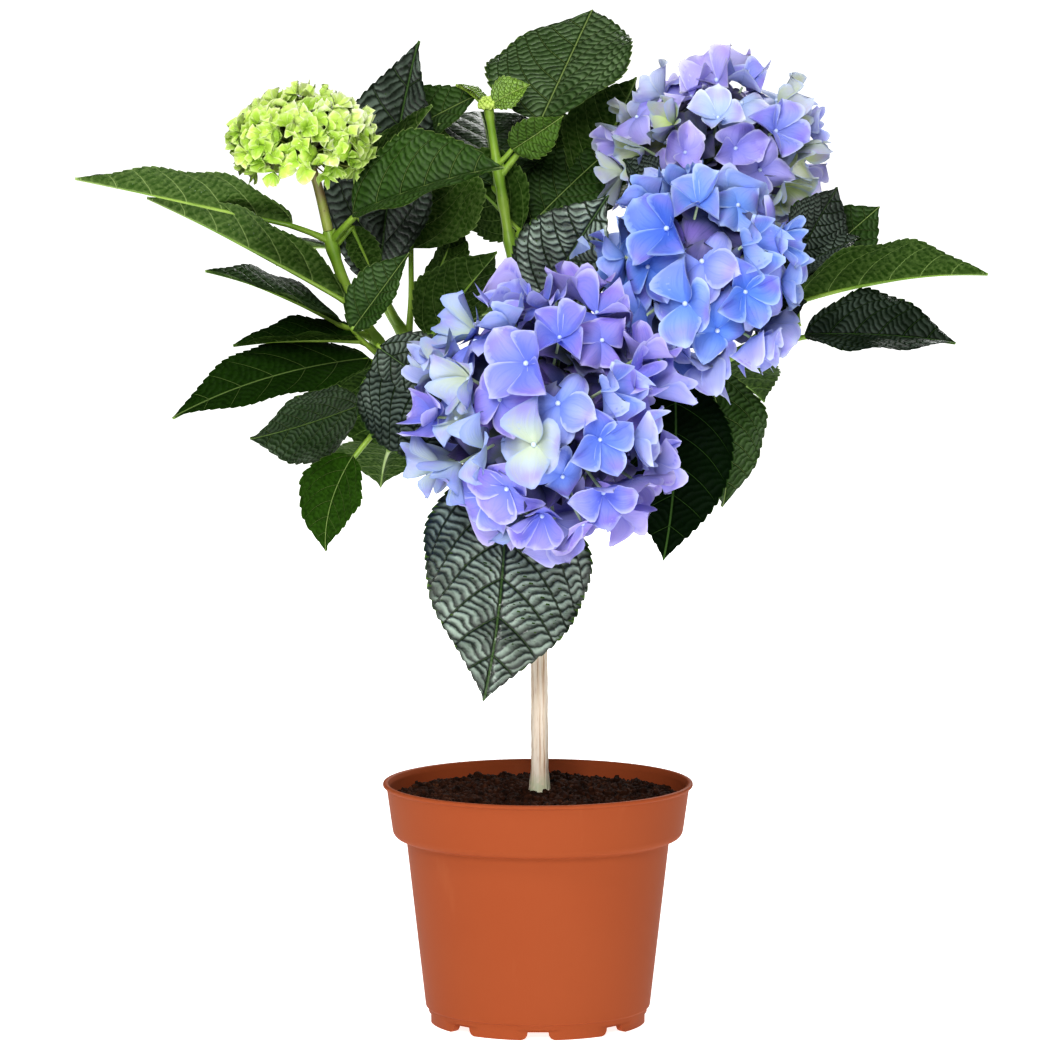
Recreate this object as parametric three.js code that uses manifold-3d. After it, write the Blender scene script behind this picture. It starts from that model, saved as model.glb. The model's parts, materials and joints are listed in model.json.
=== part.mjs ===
// A hydrangea grown as a small standard, with its pot: one bare trunk, a head of boughs, leafy
// shoots and four blooms. Millimetres, +Z up. The origin is the centre of the flat underside of the pot,
// and the largest bloom faces -Y.
//
// Every limb starts from a height on the trunk and a direction, and every leaf from a station on its
// shoot. Directions are in degrees: az turns from +X towards +Y, and rise lifts from level.
import * as THREE from "three";
import { mergeVertices } from "three/addons/utils/BufferGeometryUtils.js";
import Module from "manifold-3d";

const wasm = await Module();
wasm.setup();

// ---- driving dimensions -------------------------------------------------------------------------

const GAP = 0.3; // between neighbouring pieces that touch in the living plant
const SLIVER = 0.05; // what fusing may smooth away

const POT = {
  height: 148,
  rimRadius: 95,
  lipRadius: 93.4, // inside of the lip
  wall: 2.2,
  lipHeight: 3,
  bandTopRadius: 92.6,
  bandBottomRadius: 88.8,
  bandHeight: 33,
  shoulderRadius: 80.6,
  baseRadius: 68.8,
  footRadius: 66,
  footHeight: 7,
  footWidth: 5,
  floorHeight: 5,
  centreFootRadius: 26,
  notches: 8,
  notchWidth: 15,
  segments: 36,
};

const SOIL = {
  centreHeight: 142, // where the trunk stands
  edgeHeight: 138,
  flatRadius: 13,
};

const TRUNK = {
  x: 1,
  footRadius: 6.7,
  radius: 5.2,
  headRadius: 7.4,
  headStart: 306,
  top: 384,
  sides: 12,
};

const LIMB = { sides: 6, rings: 8 };
const LEAF = {
  stations: [0, 0.12, 0.28, 0.46, 0.66, 0.86, 1], // along the blade
  thicknessRatio: 1 / 80, // of the blade's length
  leastHalfWidth: 0.7,
  stalkRadius: 1.8,
};
const FLORET = {
  sepals: 4,
  notch: 0.62, // the dip between two sepals, of the floret's radius
  cup: 0.16, // how far the sepal tips stand forward of the middle
  root: 0.55, // how far the floret reaches back into the core, of its radius
};

// Boughs leave the trunk in staggered pairs. Each has the shoot that grows on from its tip: lift and
// swing are what rise and az gain along the length, r0 and r1 the radii at its two ends.
const LIMBS = {
  left_low: {
    bough: { from: 322, az: 206, rise: 14, length: 66, lift: 16, swing: -8, r0: 4.2, r1: 3.6 },
    shoot: { length: 48, lift: 10, swing: 6, r0: 3.4, r1: 2.8 },
  },
  back_right: {
    bough: { from: 322, az: 44, rise: 22, length: 80, lift: 26, swing: -10, r0: 4.2, r1: 3.6 },
    shoot: { length: 84, lift: 30, swing: -20, r0: 3.5, r1: 2.5 },
  },
  front: {
    bough: { from: 336, az: -92, rise: 18, length: 26, lift: 14, swing: 0, r0: 4.4, r1: 4.0 },
    shoot: { length: 26, lift: 20, swing: 0, r0: 3.9, r1: 3.5 },
  },
  back: {
    bough: { from: 338, az: 86, rise: 26, length: 74, lift: 42, swing: 0, r0: 4.4, r1: 3.8 },
    shoot: { length: 116, lift: 14, swing: -30, r0: 3.7, r1: 2.7 },
  },
  left: {
    bough: { from: 350, az: 188, rise: 16, length: 86, lift: 26, swing: 4, r0: 4.6, r1: 3.9 },
    shoot: { length: 112, lift: 36, swing: 4, r0: 3.8, r1: 3.3 },
  },
  right: {
    bough: { from: 326, az: -4, rise: 66, length: 96, lift: -46, swing: 0, r0: 4.2, r1: 3.7 },
    shoot: { length: 98, lift: 10, swing: 4, r0: 3.5, r1: 2.6 },
  },
  right_front: {
    bough: { from: 362, az: -42, rise: 22, length: 60, lift: 20, swing: 12, r0: 4.4, r1: 3.9 },
    shoot: { length: 40, lift: 20, swing: 8, r0: 3.8, r1: 3.4 },
  },
  left_back: {
    bough: { from: 362, az: 158, rise: 18, length: 86, lift: 26, swing: 10, r0: 4.4, r1: 3.8 },
    shoot: { length: 128, lift: 44, swing: -60, r0: 3.7, r1: 2.7 },
  },
  right_back: {
    bough: { from: 368, az: 34, rise: 38, length: 82, lift: 16, swing: -6, r0: 4.4, r1: 3.8 },
    shoot: { length: 64, lift: 14, swing: -6, r0: 3.7, r1: 3.3 },
  },
  top: {
    bough: { from: 374, az: 120, rise: 62, length: 60, lift: 16, swing: 8, r0: 4.2, r1: 3.7 },
    shoot: { length: 132, lift: 4, swing: 62, r0: 3.6, r1: 2.4 },
  },
};

// A leaf of a shoot: its station along it from 0 to 1, its stalk [az, rise, length], its blade
// [az, rise, length, width], and how the blade is bent.
const LEAVES = {
  left: [
    leaf(0.94, [-159, 27, 27], [-176, 12, 133, 78], bend(0, 9, 30, 0)),
    leaf(0.5, [-129, 41, 19], [171, 28, 135, 76], bend(4, 14, 32, 0)),
    leaf(0.94, [-51, 40, 28], [-18, 23, 99, 78], bend(14, 42, 36, -4)),
    leaf(0.92, [14, 55, 24], [27, 53, 82, 60], bend(4, -32, 20, 0)),
    leaf(0.9, [32, 44, 19], [35, -62, 40, 19], bend(10, -48, 14, 0)),
    leaf(0.34, [-151, 28, 27], [-164, 28, 91, 70], bend(14, -10, 10, 6)),
    leaf(0.22, [-130, 28, 29], [-177, 2, 78, 60], bend(10, -6, 20, 0)),
    leaf(0.1, [-131, 32, 56], [-13, 53, 59, 35], bend(0, 68, 30, 0)),
    leaf(0.02, [-142, 28, 39], [-154, -4, 129, 69], bend(30, -20, 8, -8)),
    leaf(0.03, [-117, 29, 52], [1, -36, 60, 54], bend(16, 102, 10, 0)),
    leaf(0.05, [-110, 39, 33], [-39, -54, 86, 88], bend(20, 26, 6, 0)),
  ],
  left_low: [
    leaf(0.96, [-162, 28, 20], [-159, -18, 70, 70], bend(10, -131, 6, 0)),
    leaf(0.99, [-155, -44, 30], [-166, -58, 61, 50], bend(30, -35, 10, 20)),
    leaf(0.5, [140, -10, 20], [95, -12, 95, 66], bend(20, 0, 12, 0)),
  ],
  front: [leaf(0.5, [180, -26, 21], [-90, -65, 145, 116], bend(24, -31, 6, 0))],
  left_back: [
    leaf(0.16, [-174, 62, 33], [62, 78, 152, 104], bend(-6, -21, 12, -20)),
    leaf(0.12, [-36, 86, 56], [21, 77, 78, 86], bend(0, -150, 10, 0)),
    leaf(0.97, [11, 59, 16], [-12, 32, 78, 62], bend(10, 40, 12, 0)),
    leaf(0.02, [39, 80, 34], [22, 66, 52, 44], bend(0, -169, 10, 0)),
    leaf(0.04, [-75, 28, 24], [-11, 53, 68, 62], bend(6, -37, 12, 0)),
    leaf(0.55, [140, 20, 20], [115, 4, 115, 80], bend(28, 0, 12, 0)),
    leaf(0.95, [95, 30, 18], [85, 12, 100, 70], bend(20, 0, 12, 0)),
    leaf(0.03, [120, -10, 20], [105, -40, 105, 80], bend(10, 0, 10, 0)),
  ],
  top: [
    leaf(0.04, [-69, -4, 24], [-50, 50, 97, 66], bend(10, 108, 10, 0)),
    leaf(0.36, [60, 23, 16], [149, 41, 74, 60], bend(10, 79, 10, 0)),
    leaf(0.72, [-32, 41, 14], [-37, 28, 43, 26], bend(10, 122, 16, 0)),
    leaf(0.66, [-8, 54, 43], [62, 44, 102, 98], bend(8, -1, 12, 6)),
    leaf(0.55, [110, 30, 18], [96, 38, 100, 74], bend(30, 0, 12, 0)),
    leaf(0.98, [-60, 40, 6], [-20, 30, 26, 22], bend(20, 70, 20, 0)),
    leaf(0.98, [120, 40, 6], [160, 40, 22, 18], bend(20, 0, 20, 0)),
  ],
  right_back: [
    leaf(0.7, [-87, 41, 55], [-140, 54, 37, 44], bend(20, -70, 10, 0)),
    leaf(0.4, [70, 20, 20], [66, 15, 115, 80], bend(25, 0, 12, 0)),
  ],
  back: [
    leaf(0.5, [-118, 60, 48], [28, 41, 73, 60], bend(10, 41, 10, 0)),
    leaf(0.8, [-25, 53, 33], [50, 54, 84, 62], bend(0, -105, 12, 0)),
    leaf(0.3, [110, 10, 22], [112, 5, 125, 84], bend(30, 10, 12, 0)),
    leaf(0.3, [60, 15, 22], [62, 8, 120, 80], bend(28, -10, 12, 0)),
    leaf(0.74, [150, 15, 20], [140, 20, 110, 78], bend(24, 0, 12, 0)),
    leaf(0.78, [70, 22, 18], [74, 20, 115, 80], bend(34, 0, 12, 0)),
    leaf(1, [90, 60, 8], [95, 60, 60, 40], bend(20, 0, 16, 0)),
    leaf(0.02, [80, -20, 20], [85, -50, 110, 84], bend(10, 0, 10, 0)),
  ],
  right: [
    leaf(0.98, [87, 58, 41], [30, 60, 53, 56], bend(-10, 101, 12, 0)),
    leaf(0.97, [104, 43, 39], [-2, 31, 54, 56], bend(10, 23, 12, 0)),
    leaf(0.98, [86, 55, 17], [5, 15, 118, 88], bend(18, -8, 38, -4)),
    leaf(0.62, [-19, 16, 39], [-12, 2, 92, 74], bend(16, 26, 20, 8)),
    leaf(0.62, [-48, 52, 14], [-9, 35, 37, 54], bend(6, 32, 10, 0)),
    leaf(0.96, [77, 35, 52], [21, 38, 62, 50], bend(0, 50, 12, 0)),
    leaf(0.15, [39, 8, 25], [-19, -67, 86, 72], bend(40, 25, 6, -6)),
  ],
  right_front: [leaf(0.3, [23, -4, 36], [-86, -59, 117, 69], bend(50, -4, 4, -6))],
  back_right: [
    leaf(0.15, [80, 0, 22], [78, -10, 110, 78], bend(24, 0, 12, 0)),
    leaf(0.5, [40, 0, 22], [56, -8, 105, 76], bend(25, 0, 12, 0)),
    leaf(0.9, [96, -2, 20], [92, -10, 100, 72], bend(25, 0, 12, 0)),
    leaf(0.04, [60, -15, 20], [60, -45, 100, 78], bend(10, 0, 10, 0)),
  ],
};

// A bloom ends its shoot: radii are its half sizes in X, Y and Z, count its florets, floret their
// radius, spread how far round from the crown they reach, in degrees.
const BLOOMS = {
  front: {
    at: [4, -105, 383],
    radii: [76, 74, 77],
    facing: [0, -0.9, 0.45],
    floret: 25,
    count: 28,
    spread: 150,
    colour: 0x8f96dc,
  },
  right_front: {
    at: [95, -50, 464],
    radii: [58, 52, 58],
    facing: [-0.15, -0.85, 0.5],
    floret: 24,
    count: 18,
    spread: 150,
    colour: 0x7f9be4,
  },
  right_back: {
    at: [107, 45, 531],
    radii: [66, 62, 53],
    facing: [0.2, -0.35, 0.9],
    floret: 24,
    count: 21,
    spread: 140,
    colour: 0x9aa0e0,
  },
  left: {
    at: [-141, -38, 544],
    radii: [43, 43, 26],
    facing: [0, -0.15, 1],
    floret: 12,
    count: 20,
    spread: 125,
    colour: 0xb9dc4c,
  },
};

// The unopened bud that ends the top shoot.
const BUD = { shoot: "top", radius: 7, height: 11 };

// ---- finishes -----------------------------------------------------------------------------------

const FINISH = {
  pot: finish(0xb4532f, 0.42),
  soil: finish(0x2b1c14, 0.95),
  trunk: finish(0xd9c8a4, 0.8),
  bough: finish(0x9d8f5c, 0.75),
  foliage: finish(0x2c5a2a, 0.45),
};

function finish(colour, roughness) {
  return new THREE.MeshStandardMaterial({ color: colour, roughness, metalness: 0 });
}

// ---- solids -------------------------------------------------------------------------------------

function leaf(station, stalk, blade, bent) {
  return { station, stalk, blade, ...bent };
}

// How a blade is bent: arch droops its tip away from the upper face, roll turns it about the
// midrib, fold lifts both halves, sway bends it sideways.
function bend(arch, roll, fold, sway) {
  return { arch, roll, fold, sway };
}

const rad = THREE.MathUtils.degToRad;

function direction(az, rise) {
  const level = Math.cos(rad(rise));
  return new THREE.Vector3(level * Math.cos(rad(az)), level * Math.sin(rad(az)), Math.sin(rad(rise)));
}

// A repeatable number from 0 to 1 for each pair of an index and a purpose.
function chance(index, purpose) {
  const wave = Math.sin(index * 12.9898 + purpose * 78.233) * 43758.5453;
  return wave - Math.floor(wave);
}

function solidOf(geometry) {
  const bare = geometry.index ? geometry.toNonIndexed() : geometry.clone();
  bare.deleteAttribute("normal");
  bare.deleteAttribute("uv");
  const merged = mergeVertices(bare, 1e-4);
  return new wasm.Manifold(
    new wasm.Mesh({
      numProp: 3,
      vertProperties: merged.attributes.position.array,
      triVerts: new Uint32Array(merged.index.array),
    }),
  );
}

function geometryOf(solid) {
  const { vertProperties, triVerts, numProp } = solid.getMesh();
  const positions = new Float32Array(triVerts.length * 3);
  triVerts.forEach((vertex, i) => {
    for (let axis = 0; axis < 3; axis += 1) {
      positions[i * 3 + axis] = vertProperties[vertex * numProp + axis];
    }
  });
  const geometry = new THREE.BufferGeometry();
  geometry.setAttribute("position", new THREE.BufferAttribute(positions, 3));
  geometry.computeVertexNormals();
  return geometry;
}

// Joins solids into one body and keeps its largest piece, so that loose scraps are dropped and a
// pocket sealed in by the fusing is filled.
function fuse(solids) {
  const pieces = wasm.Manifold.union(solids).simplify(SLIVER).decompose();
  return pieces.reduce((best, piece) => (piece.volume() > best.volume() ? piece : best));
}

// A closed skin over rings of points, each ring the same count, capped at both ends by a fan.
function skin(rings) {
  const count = rings[0].length;
  const triangles = [];
  const middle = (ring) =>
    ring.reduce((sum, point) => sum.add(point), new THREE.Vector3()).divideScalar(count);
  for (let i = 0; i < count; i += 1) {
    const j = (i + 1) % count;
    for (let r = 0; r + 1 < rings.length; r += 1) {
      triangles.push(rings[r][i], rings[r][j], rings[r + 1][j]);
      triangles.push(rings[r][i], rings[r + 1][j], rings[r + 1][i]);
    }
    triangles.push(middle(rings[0]), rings[0][j], rings[0][i]);
    triangles.push(middle(rings.at(-1)), rings.at(-1)[i], rings.at(-1)[j]);
  }
  return new THREE.BufferGeometry().setFromPoints(triangles);
}

// A tapering round limb along a list of points.
function taperedTube(points, r0, r1, sides, rings) {
  const curve = new THREE.CatmullRomCurve3(points);
  const frames = curve.computeFrenetFrames(rings, false);
  const loops = [];
  for (let r = 0; r <= rings; r += 1) {
    const centre = curve.getPointAt(r / rings);
    const radius = THREE.MathUtils.lerp(r0, r1, r / rings);
    const loop = [];
    for (let i = 0; i < sides; i += 1) {
      const turn = (i / sides) * Math.PI * 2;
      loop.push(
        centre
          .clone()
          .addScaledVector(frames.normals[r], radius * Math.cos(turn))
          .addScaledVector(frames.binormals[r], radius * Math.sin(turn)),
      );
    }
    loops.push(loop);
  }
  return solidOf(skin(loops));
}

function lathe(profile, segments) {
  const points = profile.map(([radius, height]) => new THREE.Vector2(radius, height));
  return new THREE.LatheGeometry(points, segments).rotateX(Math.PI / 2);
}

// ---- pot and soil -------------------------------------------------------------------------------

const bandFoot = POT.height - POT.bandHeight;

function potSolid() {
  const { wall } = POT;
  const body = solidOf(
    lathe(
      [
        [0, 0],
        [POT.centreFootRadius, 0],
        [POT.centreFootRadius + 1, POT.floorHeight],
        [POT.footRadius - POT.footWidth, POT.floorHeight],
        [POT.footRadius - POT.footWidth, 0],
        [POT.footRadius, 0],
        [POT.baseRadius - 1.5, POT.footHeight],
        [POT.baseRadius, POT.footHeight + 1],
        [POT.shoulderRadius, bandFoot - 1.5],
        [POT.bandBottomRadius - 1.8, bandFoot],
        [POT.bandBottomRadius, bandFoot + 2.5],
        [POT.bandTopRadius, POT.height - POT.lipHeight],
        [POT.rimRadius, POT.height - POT.lipHeight + 1],
        [POT.rimRadius - 0.4, POT.height],
        [POT.lipRadius - 1.4, POT.height],
        [POT.bandTopRadius - wall, POT.height - POT.lipHeight],
        [POT.bandBottomRadius - wall, bandFoot + 4],
        [POT.shoulderRadius - wall, bandFoot],
        [POT.baseRadius - wall, POT.floorHeight + wall],
        [0, POT.floorHeight + wall],
      ],
      POT.segments,
    ),
  );
  const notches = [];
  for (let i = 0; i < POT.notches; i += 1) {
    const notch = new THREE.BoxGeometry(POT.footWidth * 3, POT.notchWidth, POT.floorHeight * 2);
    notch.translate(POT.footRadius, 0, 0);
    notch.rotateZ((i / POT.notches) * Math.PI * 2);
    notches.push(solidOf(notch));
  }
  return body.subtract(wasm.Manifold.union(notches));
}

function soilGeometry() {
  const inner = POT.wall + GAP;
  const floor = POT.floorHeight + POT.wall + GAP;
  const slope = (POT.bandTopRadius - POT.bandBottomRadius) / (POT.height - POT.lipHeight - bandFoot - 4);
  const edgeRadius = POT.bandBottomRadius - inner + slope * (SOIL.edgeHeight - bandFoot - 4);
  return lathe(
    [
      [0, floor],
      [POT.baseRadius - inner, floor],
      [POT.shoulderRadius - inner, bandFoot],
      [POT.bandBottomRadius - inner, bandFoot + 4 + GAP],
      [edgeRadius - GAP, SOIL.edgeHeight],
      [edgeRadius * 0.6, THREE.MathUtils.lerp(SOIL.edgeHeight, SOIL.centreHeight, 0.45)],
      [SOIL.flatRadius, SOIL.centreHeight],
      [0, SOIL.centreHeight],
    ],
    POT.segments,
  );
}

// ---- trunk and limbs ----------------------------------------------------------------------------

// The trunk's outline, grown outwards by a clearance for what must stay clear of it.
function trunkSolid(clearance) {
  const foot = SOIL.centreHeight + GAP - clearance;
  const profile = [
    [0, foot],
    [TRUNK.footRadius + clearance, foot],
    [TRUNK.footRadius - 0.4 + clearance, foot + 6],
    [TRUNK.radius + 0.3 + clearance, foot + 14],
    [TRUNK.radius + clearance, foot + 60],
    [TRUNK.radius - 0.2 + clearance, TRUNK.headStart],
    [TRUNK.headRadius - 0.8 + clearance, TRUNK.headStart + 14],
    [TRUNK.headRadius + clearance, TRUNK.top - 30],
    [TRUNK.headRadius - 1 + clearance, TRUNK.top - 8],
    [TRUNK.headRadius - 4 + clearance, TRUNK.top + clearance],
    [0, TRUNK.top + clearance],
  ];
  return solidOf(lathe(profile, TRUNK.sides).translate(TRUNK.x, 0, 0));
}

// The points of a limb that starts at a point and turns evenly as it grows.
function limbPoints(start, az, rise, length, lift, swing) {
  const steps = 12;
  const points = [start.clone()];
  for (let i = 0; i < steps; i += 1) {
    const s = (i + 0.5) / steps;
    const step = direction(az + swing * s, rise + lift * s).multiplyScalar(length / steps);
    points.push(points.at(-1).clone().add(step));
  }
  return points;
}

function boughPath({ from, az, rise, length, lift, swing }) {
  return limbPoints(new THREE.Vector3(TRUNK.x, 0, from), az, rise, length, lift, swing);
}

function shootPath({ bough, shoot }) {
  const az = bough.az + bough.swing;
  const rise = bough.rise + bough.lift;
  const start = boughPath(bough).at(-1).addScaledVector(direction(az, rise), GAP);
  return limbPoints(start, az, rise, shoot.length, shoot.lift, shoot.swing);
}

function pointAt(points, station) {
  const place = station * (points.length - 1);
  const i = Math.min(Math.floor(place), points.length - 2);
  return points[i].clone().lerp(points[i + 1], place - i);
}

// ---- leaves -------------------------------------------------------------------------------------

// Half the width of a blade at a station: widest before the middle, drawn out to a point.
function halfWidth(width, s) {
  const round = Math.sin(Math.PI * s ** 0.8) ** (0.72 + 0.45 * s);
  return (width / 2) * round;
}

// The midrib as stations with their forward, sideways and upward directions.
function midrib({ stalk, blade, arch, roll, sway }, node) {
  const [az, rise, length] = blade;
  const base = node.clone().addScaledVector(direction(stalk[0], stalk[1]), stalk[2]);
  const ahead = direction(az, rise);
  const aside = new THREE.Vector3(-Math.sin(rad(az)), Math.cos(rad(az)), 0);
  const up = new THREE.Vector3().crossVectors(ahead, aside);
  aside.applyAxisAngle(ahead, rad(roll));
  up.applyAxisAngle(ahead, rad(roll));
  const turned = (s) => {
    const droop = rad(arch) * s ** 1.3;
    const drift = rad(sway) * s ** 1.3;
    const forward = ahead.clone().multiplyScalar(Math.cos(droop)).addScaledVector(up, -Math.sin(droop));
    const normal = up.clone().multiplyScalar(Math.cos(droop)).addScaledVector(ahead, Math.sin(droop));
    return {
      forward: forward.clone().multiplyScalar(Math.cos(drift)).addScaledVector(aside, Math.sin(drift)),
      side: aside.clone().multiplyScalar(Math.cos(drift)).addScaledVector(forward, -Math.sin(drift)),
      normal,
    };
  };
  const steps = 24;
  const points = [base];
  for (let i = 0; i < steps; i += 1) {
    points.push(points[i].clone().addScaledVector(turned((i + 0.5) / steps).forward, length / steps));
  }
  return { points, turned };
}

// A ring of six points round a stalk, in the order of a blade's ring.
function stalkRing(centre, forward, aside, radius) {
  const normal = new THREE.Vector3().crossVectors(forward, aside).normalize();
  const side = new THREE.Vector3().crossVectors(normal, forward).normalize();
  return [30, 90, 150, 210, 270, 330].map((turn) =>
    centre
      .clone()
      .addScaledVector(side, radius * Math.cos(rad(turn)))
      .addScaledVector(normal, radius * Math.sin(rad(turn))),
  );
}

// A leaf as one skin: two rings for the stalk, then the blade's rings of margin, midrib, margin
// above and the same below.
function leafSolid(spec, node) {
  const [, , length, width] = spec.blade;
  const { points, turned } = midrib(spec, node);
  const fold = rad(spec.fold);
  const thickness = length * LEAF.thicknessRatio;
  const blade = LEAF.stations.map((s) => {
    const { side, normal } = turned(s);
    const centre = pointAt(points, s);
    const half = Math.max(LEAF.leastHalfWidth, halfWidth(width, s));
    const edge = (t, drop) =>
      centre
        .clone()
        .addScaledVector(side, half * t * Math.cos(fold))
        .addScaledVector(normal, half * Math.abs(t) * Math.sin(fold) - drop);
    return [edge(1, 0), edge(0, 0), edge(-1, 0), edge(-1, thickness), edge(0, thickness), edge(1, thickness)];
  });
  const along = direction(spec.stalk[0], spec.stalk[1]);
  const { forward, side } = turned(0);
  const bending = along.clone().add(forward).normalize();
  const base = points[0].clone().addScaledVector(bending, -LEAF.stalkRadius);
  const rings = [
    stalkRing(node, along, side, LEAF.stalkRadius * 1.2),
    stalkRing(base, bending, side, LEAF.stalkRadius),
    ...blade.slice(1),
  ];
  return solidOf(skin(rings));
}

// ---- blooms -------------------------------------------------------------------------------------

function budSolid(tip) {
  const bud = new THREE.SphereGeometry(1, 8, 6).rotateX(Math.PI / 2);
  bud.scale(BUD.radius, BUD.radius, BUD.height / 2);
  bud.translate(tip.x, tip.y, tip.z);
  return solidOf(bud);
}

// One floret: a shallow cup of four sepals in front, drawn back to a root in the bloom's core.
function floretSolid(centre, outward, radius, spin) {
  const turnTo = new THREE.Quaternion().setFromUnitVectors(new THREE.Vector3(0, 0, 1), outward);
  const place = (x, y, z) => new THREE.Vector3(x, y, z).applyQuaternion(turnTo).add(centre);
  const rim = [];
  for (let i = 0; i < FLORET.sepals * 2; i += 1) {
    const turn = spin + (i / (FLORET.sepals * 2)) * Math.PI * 2;
    const reach = i % 2 === 0 ? radius : radius * FLORET.notch;
    const lift = i % 2 === 0 ? radius * FLORET.cup : 0;
    rim.push(place(reach * Math.cos(turn), reach * Math.sin(turn), lift));
  }
  const face = place(0, 0, 0);
  const root = place(0, 0, -radius * FLORET.root);
  const triangles = rim.flatMap((point, i) => {
    const next = rim[(i + 1) % rim.length];
    return [face, point, next, root, next, point];
  });
  return solidOf(new THREE.BufferGeometry().setFromPoints(triangles));
}

// Where the florets sit: evenly over the bloom from its crown down to its spread.
function floretPlaces({ at, radii, facing, floret, count, spread }) {
  const crown = new THREE.Vector3(...facing).normalize();
  const turnTo = new THREE.Quaternion().setFromUnitVectors(new THREE.Vector3(0, 0, 1), crown);
  const golden = Math.PI * (3 - Math.sqrt(5));
  const lowest = Math.cos(rad(spread));
  return Array.from({ length: count }, (_, i) => {
    const height = THREE.MathUtils.lerp(1, lowest, (i + 0.5) / count);
    const level = Math.sqrt(1 - height * height);
    const turn = i * golden;
    const outward = new THREE.Vector3(level * Math.cos(turn), level * Math.sin(turn), height);
    outward.applyQuaternion(turnTo);
    const inset = floret * (FLORET.cup + 0.1 + 0.22 * chance(i, 1));
    const centre = new THREE.Vector3(
      at[0] + outward.x * (radii[0] - inset),
      at[1] + outward.y * (radii[1] - inset),
      at[2] + outward.z * (radii[2] - inset),
    );
    const leaning = outward
      .clone()
      .add(new THREE.Vector3(chance(i, 2) - 0.5, chance(i, 3) - 0.5, chance(i, 4) - 0.5).multiplyScalar(0.5));
    return { centre, outward: leaning.normalize(), spin: chance(i, 5) * Math.PI };
  });
}

function bloomSolid(spec, limb) {
  const shoot = shootPath(limb);
  const tip = shoot.at(-1);
  const onward = tip.clone().sub(shoot.at(-2)).normalize();
  const heart = new THREE.Vector3(...spec.at);
  const start = tip.clone().addScaledVector(onward, GAP);
  const reach = start.distanceTo(heart) / 2;
  const stalk = taperedTube(
    [start, start.clone().addScaledVector(onward, reach), heart],
    limb.shoot.r1,
    limb.shoot.r1 * 0.9,
    LIMB.sides,
    5,
  );
  const core = new THREE.SphereGeometry(1, 12, 8);
  const shrink = spec.floret * (FLORET.cup + 0.45);
  core.scale(spec.radii[0] - shrink, spec.radii[1] - shrink, spec.radii[2] - shrink);
  core.translate(...spec.at);
  const florets = floretPlaces(spec).map(({ centre, outward, spin }) =>
    floretSolid(centre, outward, spec.floret, spin),
  );
  return fuse([solidOf(core), stalk, ...florets]);
}

// ---- assembly -----------------------------------------------------------------------------------

const group = new THREE.Group();

function add(name, geometry, material) {
  const mesh = new THREE.Mesh(geometry, material);
  mesh.name = name;
  group.add(mesh);
}

add("pot", geometryOf(potSolid()), FINISH.pot);
add("soil", soilGeometry(), FINISH.soil);
add("trunk", geometryOf(trunkSolid(0)), FINISH.trunk);

const trunkClearance = trunkSolid(GAP);
for (const [name, limb] of Object.entries(LIMBS)) {
  const { r0, r1 } = limb.bough;
  const bough = taperedTube(boughPath(limb.bough), r0, r1, LIMB.sides, LIMB.rings);
  add(`bough_${name}`, geometryOf(fuse([bough.subtract(trunkClearance)])), FINISH.bough);

  const path = shootPath(limb);
  const parts = [taperedTube(path, limb.shoot.r0, limb.shoot.r1, LIMB.sides, LIMB.rings)];
  for (const spec of LEAVES[name]) {
    const node = pointAt(path, spec.station);
    parts.push(leafSolid(spec, node));
  }
  if (name === BUD.shoot) {
    parts.push(budSolid(path.at(-1)));
  }
  add(`foliage_${name}`, geometryOf(fuse(parts)), FINISH.foliage);

  const bloom = BLOOMS[name];
  if (bloom) {
    add(`bloom_${name}`, geometryOf(bloomSolid(bloom, limb)), finish(bloom.colour, 0.7));
  }
}

export default group;
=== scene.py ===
"""A hydrangea grown as a small standard in a round plastic pot, dressed round its CAD frame.

Lengths are in millimetres and angles in degrees until a mesh is made, where MM turns them into
metres. Directions are (az, rise): az turns from +X towards +Y, and rise lifts from level. The limbs,
leaves and blooms grow by the same rule as the CAD source's, carried to finer leaves and florets.
"""

import json
import logging
import math
import random
from collections.abc import Callable, Sequence
from dataclasses import dataclass, field
from enum import Enum

import bmesh
import bpy
import numpy as np
from mathutils import Color, Matrix, Quaternion, Vector, noise
from mathutils.bvhtree import BVHTree

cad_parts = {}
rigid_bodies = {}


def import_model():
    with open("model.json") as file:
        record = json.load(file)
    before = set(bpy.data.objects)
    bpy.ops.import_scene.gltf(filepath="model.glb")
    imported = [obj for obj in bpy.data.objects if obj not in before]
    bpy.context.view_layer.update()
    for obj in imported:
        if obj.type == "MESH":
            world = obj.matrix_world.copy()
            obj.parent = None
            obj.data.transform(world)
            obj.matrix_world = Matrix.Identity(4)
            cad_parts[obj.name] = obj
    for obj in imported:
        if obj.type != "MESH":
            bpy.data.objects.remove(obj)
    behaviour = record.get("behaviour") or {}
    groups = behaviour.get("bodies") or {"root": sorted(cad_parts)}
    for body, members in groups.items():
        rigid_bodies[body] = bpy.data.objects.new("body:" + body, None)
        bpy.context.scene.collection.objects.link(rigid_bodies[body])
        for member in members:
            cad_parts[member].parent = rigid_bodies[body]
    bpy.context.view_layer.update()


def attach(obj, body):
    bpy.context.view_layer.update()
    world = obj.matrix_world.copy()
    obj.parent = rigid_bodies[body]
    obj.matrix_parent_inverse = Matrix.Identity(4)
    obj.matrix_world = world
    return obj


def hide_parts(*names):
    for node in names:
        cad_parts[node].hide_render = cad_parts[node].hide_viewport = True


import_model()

Socket = bpy.types.NodeSocket
Piece = bpy.types.Object
Mesh = bpy.types.Mesh
Material = bpy.types.Material
Pair = tuple[float, float]
Triple = tuple[float, float, float]

MM = 0.001
BODY = "root"
UP = Vector((0, 0, 1))
GOLDEN_TURN = math.pi * (3 - math.sqrt(5))
SHARP = math.radians(70)
POT_SHARP = math.radians(50)

FLORET_COLOURS = ("heart", "body", "rim")

log = logging.getLogger("hydrangea")


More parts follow.
